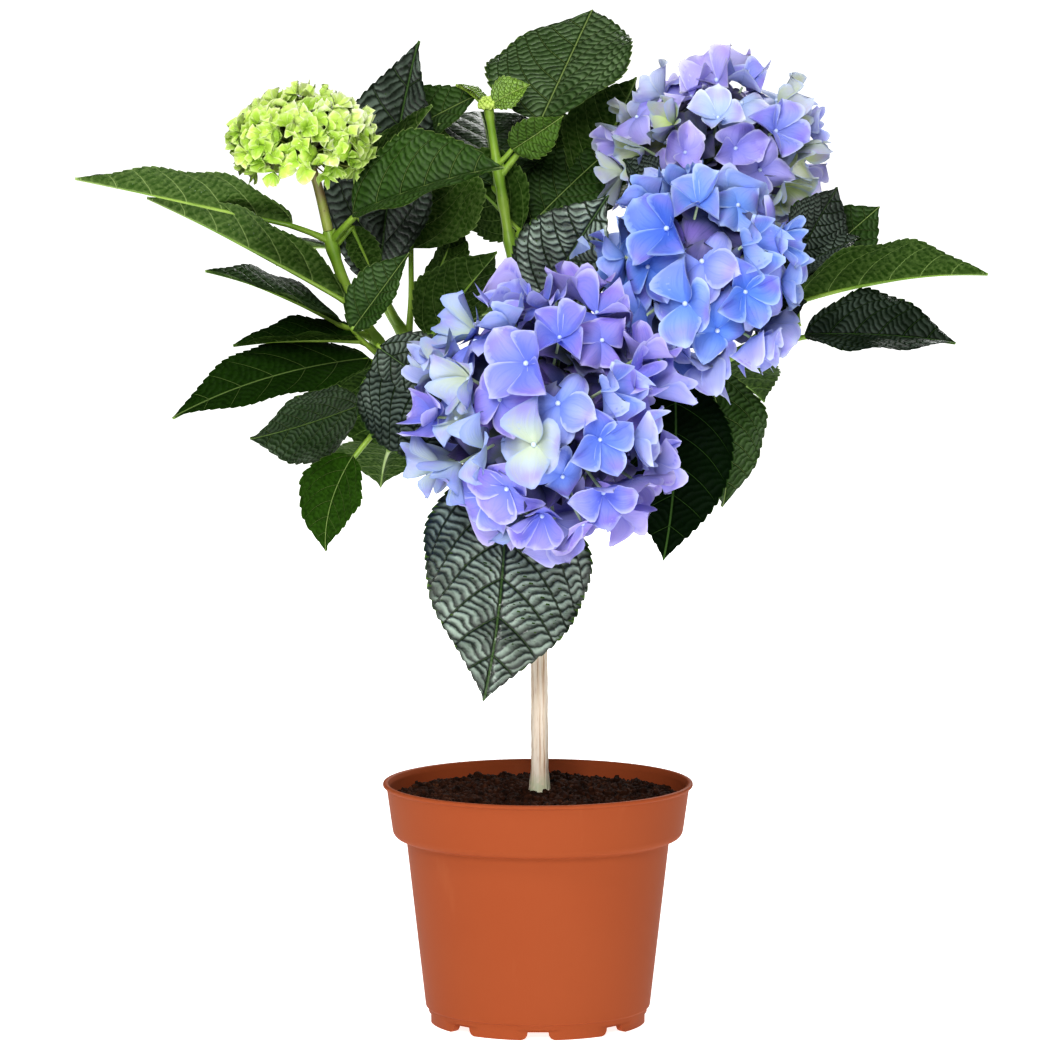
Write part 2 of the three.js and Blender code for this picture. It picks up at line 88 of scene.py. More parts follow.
# ---- small geometry ----


def direction(az: float, rise: float) -> Vector:
    """Turns an azimuth and a rise in degrees into a unit vector."""
    turn, lift = math.radians(az), math.radians(rise)
    return Vector((math.cos(lift) * math.cos(turn), math.cos(lift) * math.sin(turn), math.sin(lift)))


def chance(index: int, purpose: float) -> float:
    """Returns a repeatable number from 0 to 1 for each pair of an index and a purpose."""
    wave = math.sin(index * 12.9898 + purpose * 78.233) * 43758.5453
    return wave - math.floor(wave)


def between(low: float, high: float, share: float) -> float:
    """Mixes two numbers."""
    return low + (high - low) * share


def linear(colour: str) -> tuple[float, float, float, float]:
    """Turns a hexadecimal screen colour, such as "b4532f", into linear red, green, blue and alpha."""
    channels = [int(colour[i : i + 2], 16) / 255 for i in (0, 2, 4)]
    return (*Color(channels).from_srgb_to_scene_linear(), 1.0)


def point_at(points: Sequence[Vector], station: float) -> Vector:
    """Returns the point at a station from 0 to 1 along a list of evenly spaced points."""
    i = min(int(station * (len(points) - 1)), len(points) - 2)
    return points[i].lerp(points[i + 1], station * (len(points) - 1) - i)


def grow(start: Vector, az: float, rise: float, length: float, lift: float, swing: float) -> list[Vector]:
    """Returns the points of a limb that starts at a point and turns evenly as it grows.

    Args:
        start: Where the limb starts.
        az: Its azimuth at the start.
        rise: Its rise at the start.
        length: Its length.
        lift: What rise gains along it.
        swing: What az gains along it.

    Returns:
        Thirteen points.
    """
    steps = 12
    points = [start.copy()]
    for i in range(steps):
        s = (i + 0.5) / steps
        points.append(points[-1] + direction(az + swing * s, rise + lift * s) * (length / steps))
    return points


def rounded(corners: Sequence[Triple]) -> list[Pair]:
    """Rounds the corners of an outline.

    Args:
        corners: (radius, height, fillet) of each corner.

    Returns:
        The outline's points.
    """
    steps = 4
    reach = 0.45
    outline: list[Pair] = []
    for i, (radius, height, fillet) in enumerate(corners):
        here = Vector((radius, height))
        if fillet <= 0 or i in (0, len(corners) - 1):
            outline.append((radius, height))
            continue
        back = Vector(corners[i - 1][:2]) - here
        on = Vector(corners[i + 1][:2]) - here
        start = here + back.normalized() * min(fillet, back.length * reach)
        end = here + on.normalized() * min(fillet, on.length * reach)
        for k in range(steps + 1):
            t = k / steps
            point = start * (1 - t) ** 2 + here * 2 * t * (1 - t) + end * t**2
            outline.append((point.x, point.y))
    return outline


# ---- meshes ----


@dataclass
class Draft:
    """Vertices, faces and their maps, gathered for one piece."""

    points: list[np.ndarray] = field(default_factory=list)
    faces: list[np.ndarray] = field(default_factory=list)
    slots: list[np.ndarray] = field(default_factory=list)
    maps: dict[str, list[np.ndarray]] = field(default_factory=dict)
    values: dict[str, list[np.ndarray]] = field(default_factory=dict)
    count: int = 0

    def add(
        self,
        points: np.ndarray,
        faces: np.ndarray,
        slot: int | np.ndarray = 0,
        maps: dict[str, np.ndarray] | None = None,
        values: dict[str, np.ndarray] | None = None,
    ) -> None:
        """Adds one shape.

        Args:
            points: Its vertices, one row each, in millimetres.
            faces: Its quads, one row each.
            slot: The material slot of its faces.
            maps: For each UV map, one (u, v) for each corner of each face.
            values: For each attribute, one number for each vertex.
        """
        self.faces.append(faces + self.count)
        self.points.append(points)
        self.slots.append(np.full(len(faces), slot))
        for name, uv in (maps or {}).items():
            self.maps.setdefault(name, []).append(uv.reshape(-1, 2))
        for name, value in (values or {}).items():
            self.values.setdefault(name, []).append(value)
        self.count += len(points)

    def add_sheet(
        self,
        upper: np.ndarray,
        lower: np.ndarray,
        under_slot: int,
        maps: dict[str, tuple[np.ndarray, np.ndarray]],
        values: dict[str, tuple[np.ndarray | float, np.ndarray | float]],
    ) -> None:
        """Adds a thin closed sheet: a grid and another below it, which share their rim.

        Args:
            upper: The vertices of the upper grid, row by row.
            lower: The vertices of the lower grid.
            under_slot: The material slot of the lower face.
            maps: For each UV map, one (u, v) for each vertex of the upper grid and of the lower.
            values: For each attribute, its numbers on the upper grid and on the lower.
        """
        rows, columns = upper.shape[:2]
        inside = np.zeros((rows, columns), bool)
        inside[1:-1, 1:-1] = True
        below = np.arange(inside.size).reshape(rows, columns)
        below[inside] = inside.size + np.arange(inside.sum())
        under = grid_faces(rows, columns)
        over = under[:, ::-1]
        numbers = {
            name: [np.broadcast_to(value, inside.size) for value in pair] for name, pair in values.items()
        }
        self.add(
            np.concatenate([upper.reshape(-1, 3), lower[inside]]),
            np.concatenate([over, below.ravel()[under]]),
            np.repeat((0, under_slot), len(under)),
            {name: np.concatenate([uvs[0][over], uvs[1][under]]) for name, uvs in maps.items()},
            {name: np.concatenate([top, low[inside.ravel()]]) for name, (top, low) in numbers.items()},
        )

    def mesh(self, name: str) -> Mesh:
        """Makes the mesh, in metres, smooth, with its maps and attributes.

        Args:
            name: The mesh's name.

        Returns:
            The mesh.
        """
        mesh = bpy.data.meshes.new(name)
        points = np.concatenate(self.points) * MM
        faces = np.concatenate(self.faces)
        mesh.from_pydata(points.tolist(), [], faces.tolist())
        mesh.polygons.foreach_set("material_index", np.concatenate(self.slots).astype(np.int32))
        for title, parts in self.maps.items():
            layer = mesh.uv_layers.new(name=title)
            layer.data.foreach_set("uv", np.concatenate(parts).astype(np.float32).ravel())
        for title, parts in self.values.items():
            attribute = mesh.attributes.new(title, "FLOAT", "POINT")
            attribute.data.foreach_set("value", np.concatenate(parts).astype(np.float32))
        mesh.shade_smooth()
        mesh.set_sharp_from_angle(angle=SHARP)
        mesh.update()
        return mesh


def grid_faces(rows: int, columns: int, wrap: bool = False) -> np.ndarray:
    """Returns the quads of a grid of vertices.

    Args:
        rows: Rows of vertices.
        columns: Vertices in a row.
        wrap: Whether each row closes on itself.

    Returns:
        One row of four vertex numbers for each quad.
    """
    across = columns if wrap else columns - 1
    row, column = np.meshgrid(np.arange(rows - 1), np.arange(across), indexing="ij")
    after = (column + 1) % columns
    corners = ((row, column), (row, after), (row + 1, after), (row + 1, column))
    return np.stack([r * columns + c for r, c in corners], axis=-1).reshape(-1, 4)


def placed(name: str, data: bpy.types.ID) -> Piece:
    """Puts a new object in the scene, at the origin.

    Args:
        name: The object's name.
        data: What it shows.

    Returns:
        The object.
    """
    item = bpy.data.objects.new(name, data)
    bpy.context.scene.collection.objects.link(item)
    return item


def meshed(shell: bmesh.types.BMesh, mesh: Mesh) -> Mesh:
    """Writes an edited shape into a mesh.

    Args:
        shell: The shape, which is used up.
        mesh: Where it goes.

    Returns:
        The mesh.
    """
    shell.to_mesh(mesh)
    shell.free()
    return mesh


def closed(mesh: Mesh) -> Mesh:
    """Merges a mesh's doubles, which closes its seams and poles, and turns its faces outwards.

    Args:
        mesh: The mesh.

    Returns:
        The same mesh, smooth.
    """
    shell = bmesh.new()
    shell.from_mesh(mesh)
    bmesh.ops.remove_doubles(shell, verts=shell.verts, dist=1e-6)
    bmesh.ops.recalc_face_normals(shell, faces=shell.faces)
    meshed(shell, mesh).shade_smooth()
    return mesh


def applied(piece: Piece, modifier: bpy.types.Modifier) -> Mesh:
    """Makes a plain mesh of a piece as its modifier leaves it.

    Args:
        piece: The piece.
        modifier: Its modifier, which is removed.

    Returns:
        The mesh.
    """
    graph = bpy.context.evaluated_depsgraph_get()
    mesh = bpy.data.meshes.new_from_object(piece.evaluated_get(graph), depsgraph=graph)
    piece.modifiers.remove(modifier)
    return mesh


def finished(mesh: Mesh, name: str, *materials: Material) -> Piece:
    """Puts a mesh in the scene with its materials.

    Args:
        mesh: The mesh.
        name: The piece's name.
        materials: Its materials, in the order of their slots.

    Returns:
        The piece.
    """
    for material in materials:
        mesh.materials.append(material)
    return placed(name, mesh)


def dressed(piece: Piece, slot: str, *nodes: str) -> Piece:
    """Lets a piece ride on the plant's body and stand for CAD nodes, which it hides.

    Args:
        piece: The piece.
        slot: Its slot; not used.
        nodes: The CAD nodes that it replaces.

    Returns:
        The piece.
    """
    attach(piece, BODY)
    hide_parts(*nodes)
    return piece


# ---- shader nodes ----


class Shader:
    """One material's nodes, wired by short calls. A colour may be a hexadecimal string."""

    def __init__(self, name: str) -> None:
        """Starts a material with a Principled shader.

        Args:
            name: The material's name.
        """
        self.material = bpy.data.materials.new(name)
        self.material.use_nodes = True
        self.tree = self.material.node_tree
        self.tree.nodes.clear()
        self.surface = self.tree.nodes.new("ShaderNodeBsdfPrincipled")
        output = self.tree.nodes.new("ShaderNodeOutputMaterial")
        self.tree.links.new(self.surface.outputs["BSDF"], output.inputs["Surface"])

    def node(self, kind: str, *values: object, **settings: object) -> bpy.types.Node:
        """Adds a node.

        Args:
            kind: Its type.
            values: What its first inputs read.
            settings: Its properties.

        Returns:
            The node.
        """
        node = self.tree.nodes.new(kind)
        for name, value in settings.items():
            setattr(node, name, value)
        for socket, value in zip(node.inputs, values):
            self.feed(socket, value)
        return node

    def feed(self, target: Socket, value: object) -> None:
        """Gives a socket what it reads.

        Args:
            target: The socket.
            value: Another socket to link, a colour or a plain value.
        """
        if isinstance(value, Socket):
            self.tree.links.new(value, target)
        else:
            target.default_value = linear(value) if isinstance(value, str) else value

    def place(self) -> Socket:
        """Returns the object coordinates, in metres."""
        return self.node("ShaderNodeTexCoord").outputs["Object"]

    def uv(self, name: str) -> Socket:
        """Returns a UV map of the piece."""
        return self.node("ShaderNodeUVMap", uv_map=name).outputs["UV"]

    def attribute(self, name: str, output: str = "Fac") -> Socket:
        """Returns an attribute of the piece."""
        return self.node("ShaderNodeAttribute", attribute_name=name).outputs[output]

    def split(self, vector: Socket) -> list[Socket]:
        """Splits a vector into its three numbers."""
        return list(self.node("ShaderNodeSeparateXYZ", vector).outputs)

    def math(self, operation: str, *values: object) -> Socket:
        """Does a sum on one to three numbers or sockets."""
        return self.node("ShaderNodeMath", *values, operation=operation).outputs[0]

    def rest(self, value: object) -> Socket:
        """Returns what is left of 1."""
        return self.math("SUBTRACT", 1.0, value)

    def line(self, value: object, gain: object, start: object) -> Socket:
        """Multiplies a number by a gain and adds a start."""
        return self.math("MULTIPLY_ADD", value, gain, start)

    def times(self, product: object, *values: object) -> Socket:
        """Multiplies numbers.

        Args:
            product: The first.
            values: The others.

        Returns:
            Their product.
        """
        for value in values:
            product = self.math("MULTIPLY", product, value)
        return product

    def step(self, value: object, low: float, high: float) -> Socket:
        """Rises smoothly from 0 where a value is low to 1 where it is high."""
        node = self.node("ShaderNodeMapRange", value, low, high, interpolation_type="SMOOTHSTEP")
        return node.outputs["Result"]

    def layered(self, colour: object, *layers: tuple[object, object]) -> Socket:
        """Lays colours over a first one.

        Args:
            colour: The first colour.
            layers: For each further one, how much of it shows, and the colour.

        Returns:
            The mixed colour.
        """
        for share, shade in layers:
            node = self.node("ShaderNodeMix", data_type="RGBA")
            for socket, value in zip((node.inputs["Factor"], *node.inputs[6:8]), (share, colour, shade)):
                self.feed(socket, value)
            colour = node.outputs[2]
        return colour

    def ramp(self, share: object, *stops: tuple[float, str]) -> Socket:
        """Reads a colour from a ramp.

        Args:
            share: The place on the ramp, 0 to 1.
            stops: (place, colour) of each stop.

        Returns:
            The colour.
        """
        node = self.node("ShaderNodeValToRGB")
        elements = node.color_ramp.elements
        while len(elements) < len(stops):
            elements.new(0.5)
        for element, (place, colour) in zip(elements, stops):
            element.position = place
            element.color = linear(colour)
        self.feed(node.inputs["Fac"], share)
        return node.outputs["Color"]

    def noise(
        self, vector: object, scale: float, detail: float = 3, stretch: Triple = (1, 1, 1)
    ) -> Socket:
        """Returns noise from 0 to 1.

        Args:
            vector: What the noise follows.
            scale: How fine it is.
            detail: How many finer layers it has.
            stretch: The scale along each axis.

        Returns:
            The noise's number.
        """
        if stretch != (1, 1, 1):
            mapping = self.node("ShaderNodeMapping")
            self.feed(mapping.inputs["Vector"], vector)
            mapping.inputs["Scale"].default_value = stretch
            vector = mapping.outputs["Vector"]
        node = self.node("ShaderNodeTexNoise")
        self.feed(node.inputs["Vector"], vector)
        node.inputs["Scale"].default_value = scale
        node.inputs["Detail"].default_value = detail
        return node.outputs["Fac"]

    def cells(self, vector: object, scale: float, smoothness: float) -> Socket:
        """Returns the distance from the middle of the nearest cell.

        Args:
            vector: What the cells follow.
            scale: How fine they are.
            smoothness: How far neighbouring cells blend.

        Returns:
            The distance.
        """
        node = self.node("ShaderNodeTexVoronoi", feature="SMOOTH_F1")
        self.feed(node.inputs["Vector"], vector)
        node.inputs["Scale"].default_value = scale
        node.inputs["Smoothness"].default_value = smoothness
        return node.outputs["Distance"]

    def bump(self, height: object, distance: float, strength: float, invert: bool = False) -> None:
        """Adds a relief on top of what the shader has.

        Args:
            height: The relief's height, 0 to 1.
            distance: What 1 stands for, in metres.
            strength: How much of it shows.
            invert: Whether a greater height sinks.
        """
        node = self.node("ShaderNodeBump", invert=invert)
        node.inputs["Strength"].default_value = strength
        node.inputs["Distance"].default_value = distance
        self.feed(node.inputs["Height"], height)
        normal = self.surface.inputs["Normal"]
        if normal.is_linked:
            self.feed(node.inputs["Normal"], normal.links[0].from_socket)
        self.feed(normal, node.outputs["Normal"])

    def finish(self, colour: object, roughness: object, specular: object = 0.5) -> Material:
        """Sets the main sockets.

        Args:
            colour: The base colour.
            roughness: The roughness.
            specular: The strength of the shine.

        Returns:
            The material.
        """
        self.feed(self.surface.inputs["Base Color"], colour)
        self.feed(self.surface.inputs["Roughness"], roughness)
        self.feed(self.surface.inputs["Specular IOR Level"], specular)
        return self.material


# ---- finishes ----


@dataclass(frozen=True)
class PotPlastic:
    """Matte moulded plastic with a fine grain and faint scuffs."""

    colour: str = "974a29"
    clouded: str = "9e5432"
    scuff: str = "a8603c"
    roughness: float = 0.54

    def material(self) -> Material:
        """Makes the material.

        Returns:
            The material.
        """
        shader = Shader("pot_plastic")
        place = shader.place()
        cloud = shader.noise(place, 9, 4)
        scuffs = shader.step(shader.noise(place, 60, 6, (1, 1, 0.25)), 0.62, 0.8)
        colour = shader.layered(
            self.colour,
            (cloud, self.clouded),
            (shader.times(scuffs, 0.35), self.scuff),
        )
        shader.bump(shader.noise(place, 900, 2), 0.00012, 0.35)
        return shader.finish(colour, shader.line(cloud, 0.12, self.roughness), 0.08)


@dataclass(frozen=True)
class Compost:
    """Moist potting compost, with painted shade, nearly black, in its hollows and a painted highlight on the
    tops of its lumps.
    """

    dark: str = "120703"
    light: str = "3c2012"
    painted_lump_highlight: str = "6a4630"
    roughness: float = 0.93

    def material(self) -> Material:
        """Makes the material.

        Returns:
            The material.
        """
        shader = Shader("compost")
        lumps = shader.noise(shader.place(), 170, 6)
        # The colour follows the bump's noise: painted shade, nearly black, in the hollows and a painted
        # highlight on the lump tops.
        colour = shader.ramp(lumps, (0.3, self.dark), (0.62, self.light), (0.8, self.painted_lump_highlight))
        shader.bump(lumps, 0.0015, 0.8)
        return shader.finish(colour, self.roughness, 0.15)


@dataclass(frozen=True)
class Bark:
    """Pale bark with grooves, brown streaks and moss, and lichen at the foot of the trunk.

    The tubes' own map "Limb" has length along v and the turn round the limb along u.
    """

    name: str
    pale: str
    mid: str
    streak: str
    green: float
    moss: str = "9aa860"
    lichen: str = "b3c79a"
    foot: Pair = (0.143, 0.158)

    def material(self) -> Material:
        """Makes the material.

        Returns:
            The material.
        """
        shader = Shader(self.name)
        along = shader.uv("Limb")
        place = shader.place()
        grooves = shader.noise(along, 1.0, 4, (26, 2.2, 1))
        fine = shader.noise(along, 1.0, 5, (70, 12, 1))
        moss = shader.step(shader.noise(place, 55, 3), 0.5, 0.72)
        foot = shader.rest(shader.step(shader.split(place)[2], *self.foot))
        lichen = shader.step(shader.noise(place, 260, 2), 0.3, 0.6)
        colour = shader.layered(
            shader.ramp(grooves, (0.3, self.streak), (0.42, self.mid), (0.56, self.pale)),
            (shader.times(shader.step(fine, 0.56, 0.72), 0.45), self.streak),
            (shader.times(moss, self.green), self.moss),
            (shader.times(foot, lichen, 0.6), self.lichen),
        )
        shader.bump(grooves, 0.0011, 0.9)
        shader.bump(fine, 0.0004, 0.7)
        return shader.finish(colour, 0.78, 0.3)


@dataclass(frozen=True)
class GreenStem:
    """Fresh green stem or leaf stalk with a faint grain and purple flecks."""

    name: str
    colour: str
    pale: str
    flecks: float
    fleck: str = "5b3f3a"

    def material(self) -> Material:
        """Makes the material.

        Returns:
            The material.
        """
        shader = Shader(self.name)
        place = shader.place()
        flecks = shader.step(shader.noise(place, 420, 2), 0.66, 0.74)
        colour = shader.layered(
            self.colour,
            (shader.step(shader.noise(place, 38, 3), 0.3, 0.7), self.pale),
            (shader.times(flecks, self.flecks), self.fleck),
        )
        shader.bump(shader.noise(place, 600, 3), 0.0003, 0.5)
        return shader.finish(colour, 0.42)


class Side(Enum):
    """The two faces of a leaf."""

    TOP = "top"
    UNDER = "under"


@dataclass(frozen=True)
class Blade:
    """A leaf's surface: veins, the quilting between them and a tone from dark to young.

    The map "Blade" counts vein spacings along the leaf and out from its midrib, "Across" is 0 at the
    midrib and 1 at the margin, "Tone" is 0 for an old dark leaf and 1 for a young pale one, "Quilt" is
    how puckered the leaf is and "Rungs" counts its small veins for each vein spacing. Gloss is how much
    smoother a puckered leaf is. The puckers carry painted light: a painted highlight over one side of each
    crest. On the top there is painted shade in the hollows between crests and along the fine net; on the
    underside the hollows and the net turn pale instead.
    """

    side: Side
    tones: tuple[str, str, str, str]
    veins: tuple[str, str]
    vein_strength: float
    dark_tone_and_shade: str
    hollow_shade_and_pale_net_strength: float
    painted_crest_light: tuple[str, str]
    painted_crest_light_strength: float
    roughness: float
    gloss: float
    specular: float
    relief: float

    def lines(self, shader: Shader) -> tuple[Socket, ...]:
        """Lays out the veins and the puckers between them.

        Args:
            shader: The material being wired.

        Returns:
            How much of a side vein, of the midrib and of the painted highlight on a pucker's crest shows at
            each place.
        """
        along, beside = shader.split(shader.uv("Blade"))[:2]
        out = shader.math("ABSOLUTE", beside)
        across = shader.attribute("Across")
        bent = shader.times(shader.math("POWER", out, 3.0), VEINS.curl)
        count = shader.math("SUBTRACT", along, shader.line(out, VEINS.slant, bent))
        phase = shader.math("FRACT", count)
        near = shader.math("MINIMUM", phase, shader.rest(phase))
        thin = shader.rest(shader.step(near, 0.004, 0.03))
        fading = shader.rest(shader.step(across, 0.7, 1.0))
        midrib = shader.rest(shader.step(out, 0.012, 0.05))

        hook = shader.math("ARCTANGENT", shader.times(out, 2.0))
        place = shader.line(out, VEINS.rung_lean, shader.line(hook, VEINS.rung_hook, along))
        turn = shader.line(along, VEINS.sway_turns[1], shader.times(count, VEINS.sway_turns[0]))
        shuffled = shader.times(shader.math("FLOOR", count), VEINS.shuffle)
        wander = shader.line(shader.math("SINE", turn), VEINS.sway, shuffled)
        rungs = shader.line(place, shader.attribute("Rungs"), wander)
        rung = shader.math("FRACT", shader.line(shader.noise(shader.place(), 110, 3), 1.1, rungs))
        # Painted highlight across each rung: it rises on the side that faces the leaf's base, as if lit from
        # there, and fades over the far side; panel and margin keep it off the veins and the margin.
        rising = shader.step(rung, 0.0, 0.3)
        falling = shader.line(shader.step(rung, 0.36, 0.98), -0.9, 1.0)
        panel = shader.times(shader.step(near, 0.015, 0.09), shader.step(out, 0.04, 0.12))
        margin = shader.step(shader.rest(across), 0.0, 0.1)
        return shader.times(thin, fading), midrib, shader.times(rising, falling, panel, margin)

    def material(self) -> Material:
        """Makes the material.

        Returns:
            The material.
        """
        shader = Shader(f"blade_{self.side.value}")
        above = self.side is Side.TOP
        tone = shader.attribute("Tone")
        quilt = shader.attribute("Quilt")
        veins, midrib, high = self.lines(shader)
        pale = shader.ramp(tone, (0.0, self.veins[0]), (1.0, self.veins[1]))
        # Painted shade on the top: its hollows and fine net darken towards the dark colour. On the underside
        # they turn pale instead.
        hollow_shade_on_top_pale_net_under = self.dark_tone_and_shade if above else pale
        place = shader.place()
        cloud = shader.noise(place, 45, 4)
        network = shader.cells(place, 400, 0.35)
        puckered = shader.math("POWER", quilt, 3.0)
        # Painted sheen: patches where the painted crest highlight is stronger.
        painted_sheen = shader.line(shader.step(shader.noise(place, 42, 3), 0.32, 0.62), 0.65, 0.35)
        # Layers: random darker cloud, painted shade in the hollows and the fine net (pale on the underside),
        # painted light on the crests, then the pale veins, midrib and margin.
        colour = shader.layered(
            shader.ramp(tone, *[(i / 3, shade) for i, shade in enumerate(self.tones)]),
            (shader.times(cloud, 0.35), self.dark_tone_and_shade),
            (shader.times(shader.rest(high), quilt, self.hollow_shade_and_pale_net_strength), hollow_shade_on_top_pale_net_under),
            (shader.times(shader.step(network, 0.42, 0.75), 0.3 if above else 0.12), hollow_shade_on_top_pale_net_under),
            (
                shader.times(high, puckered, self.painted_crest_light_strength, painted_sheen),
                shader.ramp(tone, (0.0, self.painted_crest_light[0]), (0.5, self.painted_crest_light[1])),
            ),
            (shader.times(veins, self.vein_strength), pale),
            (shader.times(midrib, 0.75), pale),
            (shader.times(shader.step(shader.attribute("Across"), 0.975, 1.0), 0.4), pale),
        )
        shader.bump(shader.noise(place, 260, 3), 0.0005 * self.relief, 0.6)
        shader.bump(network, 0.0005 * self.relief, 0.7, invert=above)
        shader.bump(veins, 0.0006, 0.9, invert=above)
        shader.bump(shader.times(high, quilt), 0.0008 * self.relief, 0.7, invert=not above)
        rough = shader.line(quilt, -self.gloss, shader.line(cloud, 0.14, self.roughness - 0.07))
        return shader.finish(colour, rough, shader.times(puckered, self.specular))


@dataclass(frozen=True)
class Sepal:
    """A flower's sepal, from the colour of its heart through its body to its rim.

    The map "Sepal" has the length along u and the width along v, "Under" is 1 on the back, and "heart",
    "body" and "rim" are the floret's colours.
    """

    name: str
    heart_reach: float
    vein_depth: float
    rim_width: float
    back: float
    flush: str

    def material(self) -> Material:
        """Makes the material.

        Returns:
            The material.
        """
        shader = Shader(self.name)
        heart, body, rim = (shader.attribute(title, "Color") for title in FLORET_COLOURS)
        sepal = shader.uv("Sepal")
        along, across = shader.split(sepal)[:2]
        out = shader.math("ABSOLUTE", shader.line(across, 2.0, -1.0))
        cloud = shader.step(shader.noise(shader.place(), 42, 2), 0.4, 0.65)
        inward = shader.rest(shader.step(along, 0.02, self.heart_reach))
        veins = shader.noise(sepal, 1.0, 2, (2.0, 19, 1))
        start = 1.0 - self.rim_width
        edge = shader.math("MAXIMUM", shader.step(out, start, 1.0), shader.step(along, start, 1.0))
        colour = shader.layered(
            body,
            (shader.times(shader.line(cloud, 0.45, 0.15), shader.step(along, 0.2, 0.75)), self.flush),
            (shader.times(inward, 0.8), heart),
            (shader.times(shader.step(veins, 0.48, 0.66), self.vein_depth), heart),
            (shader.times(edge, 0.75), rim),
            (shader.times(shader.attribute("Under"), self.back), rim),
        )
        shader.bump(veins, 0.0005, 0.6)
        shader.surface.inputs["Subsurface Weight"].default_value = 0.15
        shader.surface.inputs["Subsurface Radius"].default_value = (0.003, 0.003, 0.004)
        return shader.finish(colour, 0.6, 0.25)


@dataclass(frozen=True)
class Plain:
    """A small part of one colour with a little cloud and grain."""

    name: str
    colour: str
    second: str
    roughness: float
    scale: float

    def material(self) -> Material:
        """Makes the material.

        Returns:
            The material.
        """
        shader = Shader(self.name)
        cloud = shader.noise(shader.place(), self.scale, 3)
        shader.bump(cloud, 0.0003, 0.4)
        return shader.finish(shader.layered(self.colour, (cloud, self.second)), self.roughness)


# ---- geometry nodes ----


class Growth:
    """A Geometry Nodes tree with named inputs, run once on an object."""

    def __init__(self, name: str, **inputs: str) -> None:
        """Starts a tree.

        Args:
            name: The tree's name.
            inputs: For each input besides the geometry and the material, the kind of its socket.
        """
        self.tree = bpy.data.node_groups.new(name, "GeometryNodeTree")
        face = self.tree.interface
        kinds = {"Geometry": "Geometry", **inputs, "Material": "Material"}
        self.sockets = {
            title: face.new_socket(title, in_out="INPUT", socket_type=f"NodeSocket{kind}").identifier
            for title, kind in kinds.items()
        }
        face.new_socket("Geometry", in_out="OUTPUT", socket_type="NodeSocketGeometry")
        self.given = self.tree.nodes.new("NodeGroupInput").outputs
        self.result = self.tree.nodes.new("NodeGroupOutput").inputs[0]

    def node(self, kind: str, settings: dict[str, object] | None = None, **links: object) -> bpy.types.Node:
        """Adds a node.

        Args:
            kind: The node's type.
            settings: Its properties.
            links: For each input by name, a socket to link or a value to set.

        Returns:
            The node.
        """
        node = self.tree.nodes.new(kind)
        for name, value in (settings or {}).items():
            setattr(node, name, value)
        for name, value in links.items():
            socket = next(s for s in node.inputs if s.name == name.replace("_", " ") and s.enabled)
            if isinstance(value, Socket):
                self.tree.links.new(value, socket)
            else:
                socket.default_value = value
        return node

    def stamp(self, points: object, form: object, turn: object, size: object) -> None:
        """Puts one of the forms on each point, and closes the tree.

        Args:
            points: The points.
            form: Which form each point takes.
            turn: How it is turned.
            size: How large it is.
        """
        box = self.given["Forms"]
        forms = self.node("GeometryNodeCollectionInfo", Collection=box, Separate_Children=True)
        rotation = self.node("FunctionNodeEulerToRotation", Euler=turn)
        stamped = self.node(
            "GeometryNodeInstanceOnPoints",
            Points=points,
            Instance=forms.outputs[0],
            Pick_Instance=True,
            Instance_Index=form,
            Rotation=rotation.outputs[0],
            Scale=size,
        )
        self.end(stamped.outputs[0])

    def end(self, geometry: Socket) -> None:
        """Realizes the instances, sets the material and closes the tree.

        Args:
            geometry: What the tree has made.
        """
        real = self.node("GeometryNodeRealizeInstances", Geometry=geometry)
        smooth = self.node("GeometryNodeSetShadeSmooth", Geometry=real.outputs[0])
        material = self.given["Material"]
        painted = self.node("GeometryNodeSetMaterial", Geometry=smooth.outputs[0], Material=material)
        self.tree.links.new(painted.outputs[0], self.result)

    def run(self, data: bpy.types.ID, name: str, **values: object) -> Piece:
        """Grows a piece from a curve or a mesh.

        Args:
            data: The curve or mesh that the tree starts from.
            name: The piece's name.
            values: A value for each named input.

        Returns:
            A new object with a plain mesh.
        """
        seed = placed(f"{name}_seed", data)
        modifier = seed.modifiers.new("growth", "NODES")
        modifier.node_group = self.tree
        for title, value in values.items():
            modifier[self.sockets[title]] = value
        mesh = applied(seed, modifier)
        bpy.data.objects.remove(seed)
        mesh.name = name
        return placed(name, mesh)


CRUMB_FORMS = 10
CRUMB_SLOPE = 0.6
LIMB_LUMPS = 260.0


def limb_skin() -> Growth:
    """Skins curves by their points' radii, with a slight unevenness.

    Returns:
        The tree.
    """
    tree = Growth("limb_skin", Sides="Int", Relief="Float")
    profile = tree.node("GeometryNodeCurvePrimitiveCircle", Radius=1.0, Resolution=tree.given["Sides"])
    radius = tree.node("GeometryNodeInputRadius")
    skin = tree.node(
        "GeometryNodeCurveToMesh",
        Curve=tree.given["Geometry"],
        Profile_Curve=profile.outputs[0],
        Scale=radius.outputs[0],
        Fill_Caps=True,
    )
    lumps = tree.node("ShaderNodeTexNoise", Scale=LIMB_LUMPS, Detail=2.0)
    centred = tree.node("ShaderNodeMath", {"operation": "SUBTRACT"}, Value=lumps.outputs[0])
    centred.inputs[1].default_value = 0.5
    height = tree.node("ShaderNodeMath", {"operation": "MULTIPLY"}, Value=centred.outputs[0])
    tree.tree.links.new(tree.given["Relief"], height.inputs[1])
    normal = tree.node("GeometryNodeInputNormal")
    offset = tree.node(
        "ShaderNodeVectorMath", {"operation": "SCALE"}, Vector=normal.outputs[0], Scale=height.outputs[0]
    )
    moved = tree.node("GeometryNodeSetPosition", Geometry=skin.outputs[0], Offset=offset.outputs[0])
    tree.end(moved.outputs[0])
    return tree


